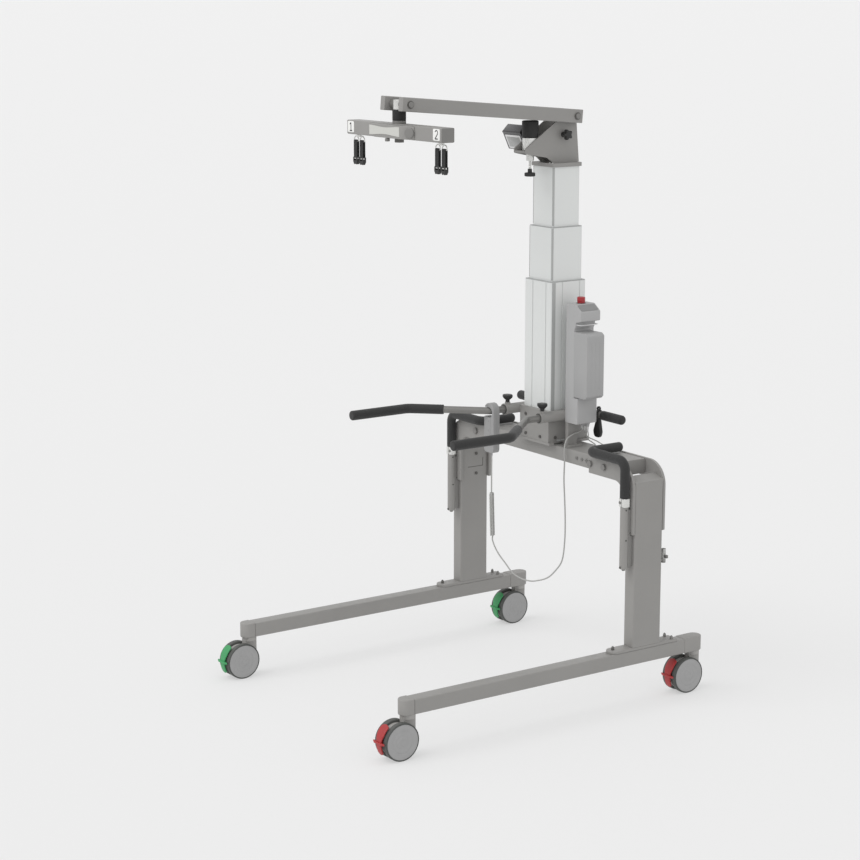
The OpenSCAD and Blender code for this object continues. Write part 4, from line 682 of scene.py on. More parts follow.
class SUPPORT_OT_casters(bpy.types.Operator):
    """Four twin wheel casters with their brake pedals, green on the left and red on the right"""

    bl_idname = "support.casters"
    bl_label = "Casters"

    def execute(self, context):
        radius = context.scene.support_sizes.wheel / MM / 2
        for end, stem_y in STEM_Y.items():
            for side, s in SIDES:
                name = f"caster_{end}_{side}"
                wheels, pedal = name + "_wheels", name + "_pedal"
                colour = "red" if s > 0 else "green"
                centre = np.array([s * LEG_X, stem_y - 40.0, AXLE_Z])
                piece(name + "_twin_wheels", self.wheels(centre, radius), wheels, (wheels,))
                piece(name + "_brake_pedal", self.pedal(centre, colour), pedal, (pedal,))
                coat_nodes("housing", name + "_fork")
        return {"FINISHED"}

    @staticmethod
    def wheels(centre, radius):
        """Each disc is a turned profile with two faint rings; the tyre is a turned closed ring."""
        parts = []
        disc = [[2, 33.0], [9, 33.0], [10, 33.6], [13, 33.6], [14, 33.0], [21, 33.1], [22, 32.7],
                [23, 33.1], [36, 33.4], [37, 33.0], [38, 33.4], [53, 33.8], [57.4, 33.2], [58.2, 32.2],
                [58.2, 31.8], [53.2, 31.6], [53.2, 14], [52, 12.8], [5, 12.8]]
        inner = arc((radius - 3.5, 16.4), 3.5, -80, 0, 7)
        tyre = np.vstack([[[53.6, 13]], inner, [[radius, 30.0], [radius - 0.6, 30.6], [53.6, 30.6]]])
        rim = [[58.4, 30.8], [radius - 0.5, 30.8], [radius - 0.1, 31.4], [radius - 0.8, 32.8],
               [radius - 2.2, 33.6], [58.6, 33.6]]
        for side in (-1, 1):
            parts += [(turned(disc, centre, X * side, 72), "disc"),
                      (hoop(tyre, centre, X * side, 96), "tyre"),
                      (hoop(rim, centre, X * side, 96), "rim")]
        return parts

    @staticmethod
    def pedal(centre, kind):
        """A band on a circle round the wheels: at each angle a rounded section whose half width
        falls to the ends as the root of the distance from them, with a tab, a web and an eye."""
        spans = (-33, -27, 8), (-24, 46, 30), (48, 56, 9)
        a = np.radians(np.concatenate([np.linspace(*span) for span in spans]))
        low, high = a[0], a[-1]
        wide = 13.3 + 5.5 * np.clip((np.degrees(a) - 2) / 22, 0, 1) ** 1.5
        end = np.minimum(a - low, high - a) / math.radians(9)
        half = wide * np.sqrt(np.clip(1 - (1 - np.clip(end, 0, 1)) ** 2, 0.02, 1))
        out = np.stack([np.zeros_like(a), -np.cos(a), np.sin(a)], -1)
        t = np.linspace(0, 2 * np.pi, 28, endpoint=False)
        edge = np.stack([np.sign(np.cos(t)) * np.abs(np.cos(t)) ** 0.3,
                         3.0 * np.sign(np.sin(t)) * np.abs(np.sin(t)) ** 0.5], -1)
        rings = [(centre + o * 68.0, X * h, o) for o, h in zip(out, half)]
        tab = rounded([[-35, -68.5], [-18, -75.8], [18, -75.8], [35, -68.5], [24, -65.6], [-24, -65.6]],
                      [2, 5, 5, 2, 1, 1]) + centre[:2]
        web = rectangle(centre[1] - 66, centre[1] - 4, centre[2] - 8, centre[2] + 8, 2)
        eye = [[5.2, -3.4], [12.4, -3.4], [13, -2.6], [13, 2.6], [12.4, 3.4], [5.2, 3.4]]
        shells = (band(rings, edge), slab(tab, centre[2] + 0.1, centre[2] + 6.9, 2, 1.8),
                  slab(web, centre[0] - 3.5, centre[0] + 3.5, 0, 1.0), hoop(eye, centre, X, 40))
        return [(shell, kind) for shell in shells]


# The frame


class SUPPORT_OT_legs(bpy.types.Operator):
    """The two legs with their moulded end caps and base plates"""

    bl_idname = "support.legs"
    bl_label = "Legs"

    def execute(self, context):
        tubes, caps, plates = [], [], []
        for _, s in SIDES:
            x = s * LEG_X
            low, high = x - HALF_TUBE, x + HALF_TUBE
            tubes.append((slab(rectangle(low, high, LEG_LOW, LEG_TOP, 4), -541, 578, 1, 0.5), "paint"))
            for stem, back, way in ((STEM_Y["front"], 12.0, -1), (STEM_Y["rear"], 55.0, 1)):
                nose = [[x - 25.4, stem - way * back], [x + 25.4, stem - way * back],
                        [x + 25.4, stem + way * 32], [x - 25.4, stem + way * 32]]
                caps.append((slab(rounded(nose, [4, 4, 25.3, 25.3], 14), 141.9, 193.5, 2, 3, 5), "cap"))
            foot = rounded([[low, 258], [high, 258], [high, 545], [low, 545]], [24.9, 24.9, 4, 4], 12)
            plates.append((slab(foot, LEG_TOP, BASE_TOP, 2, 1.5), "paint"))
        piece("leg_tubes", tubes, "frame", ("legs",))
        piece("leg_caps", caps, "frame", ("leg_end_caps",))
        piece("upright_base_plates", plates, "frame", ("base_plates",))
        return {"FINISHED"}


class SUPPORT_OT_portal(bpy.types.Operator):
    """Uprights, cross beam, curved corner plates and their bolts"""

    bl_idname = "support.portal"
    bl_label = "Portal"

    def execute(self, context):
        posts, plates = [], []
        for _, s in SIDES:
            x = s * LEG_X
            post = rectangle(x - HALF_TUBE, x + HALF_TUBE, MAST_FRONT, MAST_BACK, 5)
            posts.append((slab(post, BASE_TOP, 771, 2, 1.0), "paint"))
            corner = np.array([[287, 766], [466, 766], [466, 595], [526, 595], [526, 828], [287, 828]])
            corner = rounded(corner * [s, 1], [3, 40, 3, 3, 78, 3], 16)
            for low in (MAST_FRONT - 10, MAST_BACK):
                plates.append((slab(corner, low, low + 10, 1, 1.4), "paint"))
            ramp = np.array([[476, 770.5], [526, 770.5], [526, 772.5], [481, 786.5], [476, 786.5]], float)
            posts.append((slab(rounded(ramp * [s, 1], [0.5, 0.5, 1.5, 4, 1], 4), MAST_FRONT + 0.3,
                               MAST_BACK - 0.3, 1, 0.4), "paint"))
        piece("upright_tubes", posts, "frame", ("uprights",))
        piece("corner_gussets", plates, "frame", ("corner_plates",))
        beam = slab(rectangle(MAST_FRONT, MAST_BACK, 776, 826, 5), -430, 430, 0, 1.0)
        piece("cross_beam_tube", [(beam, "paint")], "frame", ("crossbeam",))
        # Painted shadow: on each upright's inner face a thin dark line below and one at the back stand for
        # the shadow a raised panel casts; the panel itself is not drawn.
        shadow_lines = []
        for _, s in SIDES:
            x = s * 475.6
            low, high = sorted((x, x + s * 0.8))
            shadow_lines += [(block([low, 377, 637], [high, 445, 639.4], 0.5, 0.2, 0), "zinc"),
                      (block([low, 443, 637], [high, 445.4, 669], 0.5, 0.2, 0), "zinc")]
        piece("upright_panel_shadow_lines", shadow_lines, "frame")
        self.bolts()
        return {"FINISHED"}

    @staticmethod
    def bolts():
        """The bolts at the beam's height and those behind are painted like the frame and the
        accessory socket is bright; the others stay plated. A face's place tells them apart."""
        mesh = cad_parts["frame_bolts"].data
        mesh.materials.clear()
        for kind in ("zinc", "rail", "socket"):
            mesh.materials.append(finishes()[kind])
        middle = np.empty(len(mesh.polygons) * 3)
        mesh.polygons.foreach_get("center", middle)
        x, y, z = (middle.reshape(-1, 3) / MM).T
        beam = (np.abs(x) > 200) & (z > 780) & (z < 830)
        behind = (y > MAST_BACK + 10) & (z < 760)
        socket = behind & (np.abs(z - 501) < 17) & (np.hypot(x - LEG_X, y - 494) < 9)
        mesh.polygons.foreach_set("material_index", (beam | behind).astype(np.int32) + socket)


class SUPPORT_OT_column(bpy.types.Operator):
    """The telescopic column, its dark stage rims, painted shade in its grooves and the bracket at its foot
    """

    bl_idname = "support.column"
    bl_label = "Column"

    def execute(self, context):
        rim = context.scene.support_sizes.rim / MM
        coat_nodes("silver", "column_outer", "column_middle", "column_inner")
        coat_nodes("paint", "column_bracket", "control_post")
        # The rim on each stage top is a thin trim in the darker groove finish, which also paints the shade
        # of the gap between the stages.
        for name, body, top, outer, inner in (("outer", "frame", 1393.0, 75.6, 66.6),
                                              ("middle", "middle_stage", 1579.0, 65.6, 58.6)):
            outer, inner = (rectangle(-half, half, MAST_Y - half, MAST_Y + half, corner)
                            for half, corner in ((outer, 8), (inner, 6)))
            ring = pipe(outer, inner, top, top + rim, 2, 0.6)
            piece(f"stage_rim_{name}", [(ring, "groove")], body)
        # Painted shade: strips darker than the column stand for the shade in the outer stage's grooves, two
        # on the front face, the left one fainter, and one on the +X face; the last strip, in the column's
        # own silver, is only raised.
        strips = []
        for x, kind in ((-47.1, "edge"), (27.4, "groove")):
            strips.append((block([x - 2.2, 330.4, 836], [x + 2.2, 331.2, 1392], 0.5, 0.2), kind))
        for low, high, kind in ((334, 349, "groove"), (349.2, 353, "silver")):
            strips.append((block([75.2, low, 836], [76.4, high, 1392], 0.2, 0.2), kind))
        piece("column_strips_of_groove_shade", strips, "frame")
        # Painted dark reflection: a darker band down each front corner of the middle and inner stages
        # stands for the dark that their rounded corners reflect.
        for name, body, low, high, half in (("middle", "middle_stage", 1400, 1578, 66.0),
                                            ("inner", "inner_stage", 1586, 1784, 58.0)):
            edges, y = [], MAST_Y - half
            for way in (-1, 1):
                corner = rounded([[way * (half - 5), y - 0.2], [way * (half + 0.2), y - 0.2],
                                  [way * (half + 0.2), y + 5]], [0.1, 5.5, 0.1], 8)
                corner = np.vstack([corner, [[way * (half - 1.0), y + 5], [way * (half - 3.5), y + 3.5],
                                             [way * (half - 5), y + 1.0]]])
                edges.append((slab(corner, low, high, 2, 0.05, 1), "groove"))
            piece(f"column_corner_dark_reflection_bands_{name}", edges, body)
        # Painted shade: a thin dark plate on each side of the bracket stands for the shade in its slot.
        slot_shade = [(block([x, 338, 828.5], [x + 0.6, 378, 834.5], 2.8, 0.1, 0), "spot")
                 for x in (-90.6, 90.0)]
        piece("bracket_slot_shade", slot_shade, "frame")
        return {"FINISHED"}


# Handles


def wing_knob(origin):
    """A wing head on a plain stem: a turned profile whose rim swells in six lobes."""
    head = [[8, 9, 0], [9.5, 9.6, 0], [13, 12.5, 0.6], [16.6, 17, 1], [17.6, 18.6, 1], [18, 20.5, 1],
            [18, 24, 1], [17.4, 26, 1], [15.5, 27, 1], [6, 27.2, 0.3]]
    return [(rod(5, 944.9 - origin[2], 8, 0.5, origin, Z, 32), "black"),
            (rod(7.5, 1, 11, 1, origin, Z, 32), "black"),
            (turned(head, origin, Z, 96, lobes=6, depth=0.05), "black")]


class SUPPORT_OT_handlebars(bpy.types.Operator):
    """The two front handlebars, their grips and the clamp knobs on their sockets"""

    bl_idname = "support.handlebars"
    bl_label = "Handlebars"

    def execute(self, context):
        grip = context.scene.support_sizes.handlebar_grip / MM / 2
        for side, s in SIDES:
            line = np.array([[SOCKET_X, 343, BAR_Z], [SOCKET_X, 209, BAR_Z], [304, -8, BAR_Z],
                             [304, -229, BAR_Z]]) * [s, 1, 1]
            start = line[1] + 0.57 * (line[2] - line[1])
            tip = line[3] - Y * 15.2
            body, foam, knob = f"handlebar_{side}", f"handlebar_grip_{side}", f"clamp_knob_{side}"
            bar = tube(bent([line[0], line[1], line[2], line[2] - Y * 150], 40, 16), 12.5, 36)
            piece(f"handlebar_tube_{side}", [(bar, "satin")], body, (body,))
            # Painted shade: a thin dark ring in each socket's mouth, round the bar, stands for the shade
            # inside the socket's wider bore.
            bush = [[12.7, 0], [17.2, 0], [17.2, 0.5], [12.7, 0.5]]
            bush = hoop(bush, [s * SOCKET_X, 262, BAR_Z], -Y, 48)
            piece(f"socket_mouth_shade_{side}", [(bush, "spot")], "frame")
            sleeve = soft_tube(bent([start, line[2], tip], 40, 16), grip, 2.5, 5, 36)
            piece(f"handlebar_foam_{side}", [(sleeve, "foam")], body, (foam,))
            piece(f"wing_knob_{side}", wing_knob([s * SOCKET_X, 278, 956]), knob, (knob,))
        return {"FINISHED"}


class SUPPORT_OT_handles(bpy.types.Operator):
    """Rear handles with their lever, push handles, and the sleeves that hold them"""

    bl_idname = "support.handles"
    bl_label = "Handles and sleeves"

    def execute(self, context):
        grip = context.scene.support_sizes.handle_grip / MM / 2
        bars, grips, sleeves, clamps = [], [], [], []
        for side, s in SIDES:
            bars.append((tube([[s * 82, REAR_Y, BAR_Z], [s * 290, REAR_Y, BAR_Z]], 12.5, 36), "satin"))
            foam = soft_tube([[s * 186, REAR_Y, BAR_Z], [s * 296, REAR_Y, BAR_Z]], grip, 2.5, 10, 36)
            grips.append((foam, "foam"))
            x, y = s * LEG_X, SLEEVE_Y
            body = f"push_handle_{side}"
            bends = [[x, y, PUSH_Z], [s * PUSH_X, y, PUSH_Z]]
            line = bent([[x, y, 507], *bends, [s * PUSH_X, 430, PUSH_Z]], 32, 12)
            piece(f"push_tube_{side}", [(tube(line, 11, 32), "steel")], body, (body,))
            line = bent([[x, y, 721.3], *bends, [s * PUSH_X, 460.6, PUSH_Z]], 32, 14)
            piece(f"push_foam_{side}", [(soft_tube(line, grip, 2.5, 10, 36), "foam")], body,
                  (f"push_grip_{side}",))
            sleeve = rectangle(x - 13.8, x + 13.8, y - 13.8, y + 13.8, 12.8, 10)
            sleeves += [(slab(sleeve, 478, 691, 2, 2.0), "paint"),
                        (block([x - 13, y + 8, 486], [x + 13, 335.8, 683], 1, 1), "rail"),
                        (block([x - 12.6, 335.5, 486.5], [x + 12.6, 345.8, 592.8], 1, 0.6), "rail"),
                        (rod(6, 471.5, 478.6, 2.5, [x, y, 0], Z, 28), "satin"),
                        (rod(3.6, -1, 3.2, 1, [x, y - 13.8, 484], -Y, 20), "zinc")]
            for out, z in ((3.0, 682), (2.0, 578)):
                screw = rod(3.2, -1, 0.9, 0.5, [x + 13.2, y - out, z], unit([1, -0.3, 0]), 20)
                sleeves.append((screw, "spot"))
            sleeves.append((rod(3.4, -1, 0.8, 0.4, [x + 13, y + 16, 602], X, 20), "spot"))
            collar = rectangle(x - 16.8, x + 16.8, y - 13.4, y + 13.4, 7)
            clamps += [(slab(collar, 691.2, 720.8, 2, 2), "steel"),
                       (rod(5.5, 9, 14.8, 1, [x - s * 8, y, 706], -Y, 24), "satin"),
                       (block([x - 0.8, y - 13.7, 692], [x + 0.8, y - 12, 720], 0.4, 0.2), "spot")]
        piece("rear_handle_tubes", bars, "frame", ("rear_handles",))
        piece("rear_handle_foam", grips, "frame", ("rear_grips",))
        piece("sleeve_tubes", sleeves, "frame", ("handle_sleeves",))
        piece("sleeve_collars", clamps, "frame", ("sleeve_clamps",))
        at = np.array([163.0, REAR_Y, BAR_Z])
        drop = rounded([[-7, -12], [7, -12], [17.5, -60], [12, -81], [-17, -81], [-23.5, -60]],
                       [1, 1, 16, 13, 13, 16], 10) + at[[0, 2]]
        hub = [[12.7, -7], [15.5, -7], [16.5, -6], [16.5, 6], [15.5, 7], [12.7, 7]]
        eye = [[4.5, -3], [5.5, -4], [7.5, -4], [8.5, -3], [8.5, 3], [7.5, 4], [5.5, 4], [4.5, 3]]
        lever = [(slab(drop, REAR_Y - 7, REAR_Y + 7, 1, 4, 5), "black"), (hoop(hub, at, X, 48), "black"),
                 (hoop(eye, at + Z * 20.5, Y, 40), "black")]
        piece("teardrop_lever", lever, "lever", ("clamp_lever",))
        return {"FINISHED"}


# Control unit and handset


class SUPPORT_OT_control_unit(bpy.types.Operator):
    """Control box, battery pack and red stop button"""

    bl_idname = "support.control_unit"
    bl_label = "Control unit"

    def execute(self, context):
        shape = rounded([[118, 911], [186, 911], [186, 1002], [163, 1002], [163, 1240], [170, 1253],
                         [170, 1264], [198, 1270], [198, 1303], [166, 1326], [118, 1326]],
                        [4.5, 5, 1.5, 1.5, 3, 3, 4, 5, 7, 9, 4.5], 5)
        collar = [[14.4, 0], [15.8, 0], [16.2, 0.8], [15.4, 1.6], [14.4, 1.6]]
        core = [[7.5, -0.5], [13.2, -0.5], [13.2, 4.6], [12.9, 4.9], [7.5, 4.9]]
        middle = (BOX_FRONT + BOX_BACK) / 2
        slope = unit([32.0, 0, -23.0])
        face = [(np.array([182.5, middle, 1315.0]) + np.array([0.58, 0, 0.81]) * h, Y, slope)
                for h in (-1.5, 0.8)]
        lip = rounded([[-38, -20], [38, -20], [38, 20], [-38, 20]], 8, 6)
        loop = np.stack([177 + lip[:, 1] * 0.8, middle + lip[:, 0], np.full(len(lip), 1256.5)], -1)
        box = [(slab(shape, BOX_FRONT, BOX_BACK, 1, 1.4, 4), "pale"),
               (hoop(collar, [*BUTTON[:2], 1325.6], Z, 48), "black"), (hoop(core, BUTTON, Z, 56), "button"),
               (band(face, rectangle(-37, 37, -15, 15, 6)), "shade"),
               (closed_wire(loop, 1.5, 12), "white")]
        piece("control_case", box, "frame", ("control_box",))
        pack = rounded([[162.4, 1005], [224, 1005], [235, 1014], [235, 1224], [223, 1232], [162.4, 1232]],
                       [0.8, 6, 6, 9, 7, 0.8], 6)
        parts = [(slab(pack, 364.3, 438, 1, 0.8, 4), "pack")]
        for y in (384, 402, 420):
            parts.append((block([234.2, y - 1.6, 1036], [235.5, y + 1.6, 1202], 1.0, 0.6, 0), "pack"))
        piece("battery_case", parts, "frame", ("battery_pack",))
        cap = [[4, 9.4], [13.4, 9.4], [13.4, 5], [13.8, 5], [14, 5.4], [14, 19], [13.2, 21.2], [11, 22],
               [4, 22.2]]
        button = [(rod(7, -11, 9.8, 0.5, BUTTON, Z, 32), "black"), (turned(cap, BUTTON, Z, 56), "button")]
        piece("stop_mushroom", button, "stop_button", ("estop_button",))
        return {"FINISHED"}


class SUPPORT_OT_handset(bpy.types.Operator):
    """The handset with its hook, and its rocker key"""

    bl_idname = "support.handset"
    bl_label = "Handset"

    def execute(self, context):
        x, y, z = HANDSET
        lip = math.degrees(math.asin(12 / 28))
        shape = np.vstack([arc((-14, z + 14), 14, 180, 270, 9), arc((14, z + 14), 14, 270, 360, 9),
                           arc((0, 932.8), 28, 0, 180 - lip, 25), [[-14, HOOK_Z + 18]],
                           arc((0, HOOK_Z), 18, 90, -123.6, 22),
                           [[-26, HOOK_Z - 15], [-28, HOOK_Z - 17]]])
        body = slab(shape + [x, 0], y - 14, y + 14, 1, 2.5, 5)
        seam = [(block([x + 27.7, y - 0.4, z + 16], [x + 28.1, y + 0.4, 930], 0.2, 0.1, 0), "shade")]
        piece("handset_case", [(body, "case")] + seam, "frame", ("handset",))
        key = slab(rectangle(x - 11, x + 11, z + 66.5, z + 125.5, 3), 195, 200, 1, 1)
        marks = [(slab(rounded(arrow, 0.6, 3), 194.8, 195.4, 1, 0.1), "shade")
                 for arrow in ([[x - 4.5, z + 110], [x + 4.5, z + 110], [x, z + 117]],
                               [[x - 4.5, z + 82], [x, z + 75], [x + 4.5, z + 82]])]
        piece("rocker_face", [(key, "case")] + marks, "rocker_key", ("handset_key",))
        return {"FINISHED"}


# Head, boom and yoke


class SUPPORT_OT_head(bpy.types.Operator):
    """Head bracket, display, star knob, jack screw and bumper"""

    bl_idname = "support.head"
    bl_label = "Head"

    def execute(self, context):
        coat_nodes("paint", "head_bracket")
        at = np.array([0.0, MAST_Y, 1799.0])
        wedge = np.array([[-128, 100], [-123, 94], [-97, 39], [-80, 43], [-76, 117], [-102, 126]])
        wedge = rounded(wedge + at[1:], [1.5, 1.5, 4, 4, 5, 5], 5)
        case = [(slab(wedge, -145, -42, 0, 1.3, 5), "smoke")]
        down, up = unit([0, 26, -55.0]), unit([0, 26, 26.0])
        screen_at, cover_at = at + [-93.5, -110.0, 66.5], at + [-93.5, -115.0, 113.0]
        for place, way, outline, thick, kind in (
                (screen_at, down, rectangle(-43, 43, -26, 26, 4), 0.9, "white"),
                (screen_at, down, rectangle(-36, 36, -19, 19, 2), 1.5, "screen"),
                (cover_at, up, rectangle(-49, 49, -15.5, 15.5, 4), 1.2, "smoke")):
            out = np.cross(way, X) if np.cross(way, X)[1] < 0 else np.cross(X, way)
            rings = [(place + out * h, X, way) for h in (-2.0, thick - 0.3)]
            rings.append((place + out * thick, X * 0.985, way * 0.97))
            case.append((band(rings, outline), kind))
        arm = rounded([[320, 1878], [406, 1881], [412, 1881], [420, 1894], [412, 1907], [406, 1907],
                       [320, 1906]], [1, 3, 6, 8, 6, 3, 1], 4)
        case += [(slab(arm, -40, -35, 0, 1), "smoke"),
                 (block([-43, 316, 1878], [-35, 326, 1906], 1, 0.8), "smoke")]
        piece("display_unit", case, "display", ("display_case",))
        lobes = [[6, 15, 0], [10, 15.4, 0.3], [14, 16.6, 1], [15.4, 18.5, 1], [15.6, 28, 1], [15, 31, 1],
                 [12.5, 33.2, 0.9], [6, 34, 0.3]]
        star = [(rod(4, -42, 44, 0.6, STAR, X, 24), "zinc"), (rod(10, 35, 52, 1.5, STAR, X, 40), "black"),
                (turned(lobes, [34, *STAR[1:]], X, 120, lobes=5, depth=0.20), "black")]
        piece("five_lobe_knob", star, "star", ("star_knob",))
        thread = [[4.5 - 0.45 * (k % 2), z] for k, z in enumerate(np.arange(1779.0, 1854.0, 1.0))]
        wheel = [[15, 1754.2, 0], [17.8, 1755, 1], [18.4, 1757, 1], [18.4, 1763.5, 1], [17.8, 1766, 1],
                 [15, 1767.3, 0], [7.5, 1767.6, 0]]
        jack = [(turned(thread, JACK, Z, 24), "steel"), (rod(7.5, 1767, 1780, 1.5, JACK, Z, 40), "black"),
                (turned(wheel, JACK, Z, 144, lobes=24, depth=0.018), "black")]
        piece("jack_hand_screw", jack, "jack", ("jack_screw",))
        buffer = [(rod(26.5, 1843, 1885, 1.0, JACK, Z, 64), "bright"),
                  (rod(28.5, 1885.1, 1943.0, 4.0, JACK, Z, 72), "rubber")]
        piece("boom_buffer", buffer, "inner_stage", ("rubber_bumper",))
        cup = [[4.7, 1807.6], [12.6, 1807.6], [13.3, 1808.4], [13.3, 1833], [13.05, 1834.8],
               [13.05, 1810], [4.7, 1810]]
        screws = [(rod(3, 0, 2, 0.8, [x, 344.5, 1799.2], Z, 16), "steel") for x in (40, 56)]
        screws.append((hoop(cup, JACK, Z, 56), "steel"))
        piece("head_screws", screws, "inner_stage")
        return {"FINISHED"}


def along_boom(points):
    """Points drawn with the boom level at the pivot, turned up by the boom's tilt about X."""
    c, s = math.cos(BOOM_TILT), math.sin(BOOM_TILT)
    x, y, z = points.T
    return np.stack([x, y * c + z * s, -y * s + z * c], -1) + PIVOT


class SUPPORT_OT_boom(bpy.types.Operator):
    """The boom: two side tubes, web plates, two bolts with washers and the spacers"""

    bl_idname = "support.boom"
    bl_label = "Boom"

    def execute(self, context):
        inner, wide, front, back = 40.8, 25.0, -718.5, 23.0
        parts = []
        for _, s in SIDES:
            lo, hi = sorted((s * inner, s * (inner + wide)))
            parts.append((slab(rectangle(lo, hi, -23, 23, 3.5), front, back, 1, 1.2), "paint"))
        parts += [(block([-41.6, -649, 17], [41.6, -60, 21], 0.8, 0.5), "paint"),
                  (block([-41.6, -191.7, -23], [41.6, -113.7, -17], 0.8, 0.5), "paint")]
        for y in (0.0, -BOOM_REACH):
            parts.append((rod(7, -66.5, 66.5, 0.5, [0, y, 0], X, 32), "steel"))
            for _, s in SIDES:
                parts += [(rod(13, 65.9, 68.2, 0.6, [0, y, 0], X * s, 48), "zinc"),
                          (rod(9.5, 68.2, 72.9, 1.2, [0, y, 0], X * s, 32), "rail")]
        spacer = [[7.2, 34.3], [15, 34.3], [15, 40.5], [7.2, 40.5]]
        parts += [(hoop(spacer, [0, 0, 0], X * s, 40), "satin") for _, s in SIDES]
        parts = [(moved(shell, along_boom), kind) for shell, kind in parts]
        piece("boom_weldment", parts, "boom", ("boom",))
        return {"FINISHED"}


class SUPPORT_OT_yoke(bpy.types.Operator):
    """Yoke stem and bush, yoke beam with its housing, a bare plaque and two numbered labels"""

    bl_idname = "support.yoke"
    bl_label = "Yoke"

    def execute(self, context):
        y = YOKE[1]
        centre = np.array([0.0, y, 0.0])
        pin_z = 2014.49
        stem = [(rod(22.5, 1961.8, 1996.8, 1.5, centre, Z, 56), "rubber"),
                (rod(20, 1996.9, 2028.4, 1.0, centre, Z, 56), "steel"),
                (rod(14, -40.5, 40.5, 1.0, centre + Z * pin_z, X, 48), "satin"),
                (rod(12.5, 1892.5, 1962.0, 0.8, centre, Z, 40), "steel"),
                (rod(17, 1890.6, 1904.1, 1.2, centre, Z, 6), "zinc")]
        piece("swivel_stem", stem, "stem", ("yoke_stem",))
        front, back = y - HALF_TUBE, y + HALF_TUBE
        bar = [(slab(rectangle(front, back, YOKE[2], YOKE_TOP, 4), -276, 276, 0, 1.5), "paint"),
               (rod(22.5, 1950.5, 1961.4, 1.2, centre, Z, 56), "satin")]
        for s in (-1, 1):
            low, high = sorted((s * 275.5, s * 277.6))
            low, high = [low, y - 24.4, YOKE[2] + 0.6], [high, y + 24.4, YOKE_TOP - 0.6]
            bar.append((block(low, high, 3.5, 0.8, 0), "plug"))
        piece("yoke_bar", bar, "yoke", ("yoke_beam",))
        cover = []
        for way, face in ((-1, front), (1, back)):
            bulge = face + way * 20
            shape = rounded([[-130, face], [-80, bulge], [80, bulge], [130, face]], [1, 14, 14, 1], 8)
            cover.append((slab(shape, YOKE[2] + 1.5, YOKE_TOP - 2.5, 2, 2.5), "paint"))
        cover += [(rod(18, -7, 6, 4, [110, front - 8.5, 1927.5], unit([0.42, -1, 0]), 48), "rail"),
                  (rod(8, 1894.5, 1905, 2, [-14, front - 12, 0], Z, 32), "satin")]
        plaque_z = 1929
        dip = 4.5 * np.cos(np.linspace(-np.pi / 2, np.pi / 2, 25)) ** 2
        top = np.stack([np.linspace(-108, 68, 25), plaque_z + 15.5 - dip], -1)
        plaque = np.vstack([top, (top * [1, -1] + [0, 2 * plaque_z])[::-1]])
        cover.append((slab(plaque, front - 21.6, front - 19.6, 1, 0.5), "plate"))
        piece("yoke_housing", cover, "yoke", ("yoke_cover",))
        self.labels(front)
        return {"FINISHED"}

    @staticmethod
    def labels(front):
        """A white label at each end of the beam with a 1 and a 2 drawn in strokes."""
        def pressed(points):
            """The strokes pressed to 0.15 of their depth against the label."""
            depth = front - 0.9 + (points[:, 1] - front + 0.9) * 0.15
            return np.stack([points[:, 0], depth, points[:, 2]], -1)

        labels = []
        for x, strokes in (
                (-253, [[(-6, 8), (1, 13)], [(1, 13), (1, -13)], [(-6, -13), (8, -13)]]),
                (249, [[(-7, 9), (-3, 13), (4, 13), (8, 8), (6, 2), (-7, -13)], [(-7, -13), (8, -13)]])):
            mid = np.array([x, front, 1929.5])
            paper = rectangle(x - 19, x + 19, 1911, 1948, 5)
            labels.append((slab(paper, front - 0.8, front + 0.2, 1, 0.2), "label"))
            for line in strokes:
                path = [mid + [a, -0.9, b] for a, b in line]
                labels.append((moved(tube(path, 1.9, 12), pressed), "ink"))
        piece("side_labels", labels, "yoke")


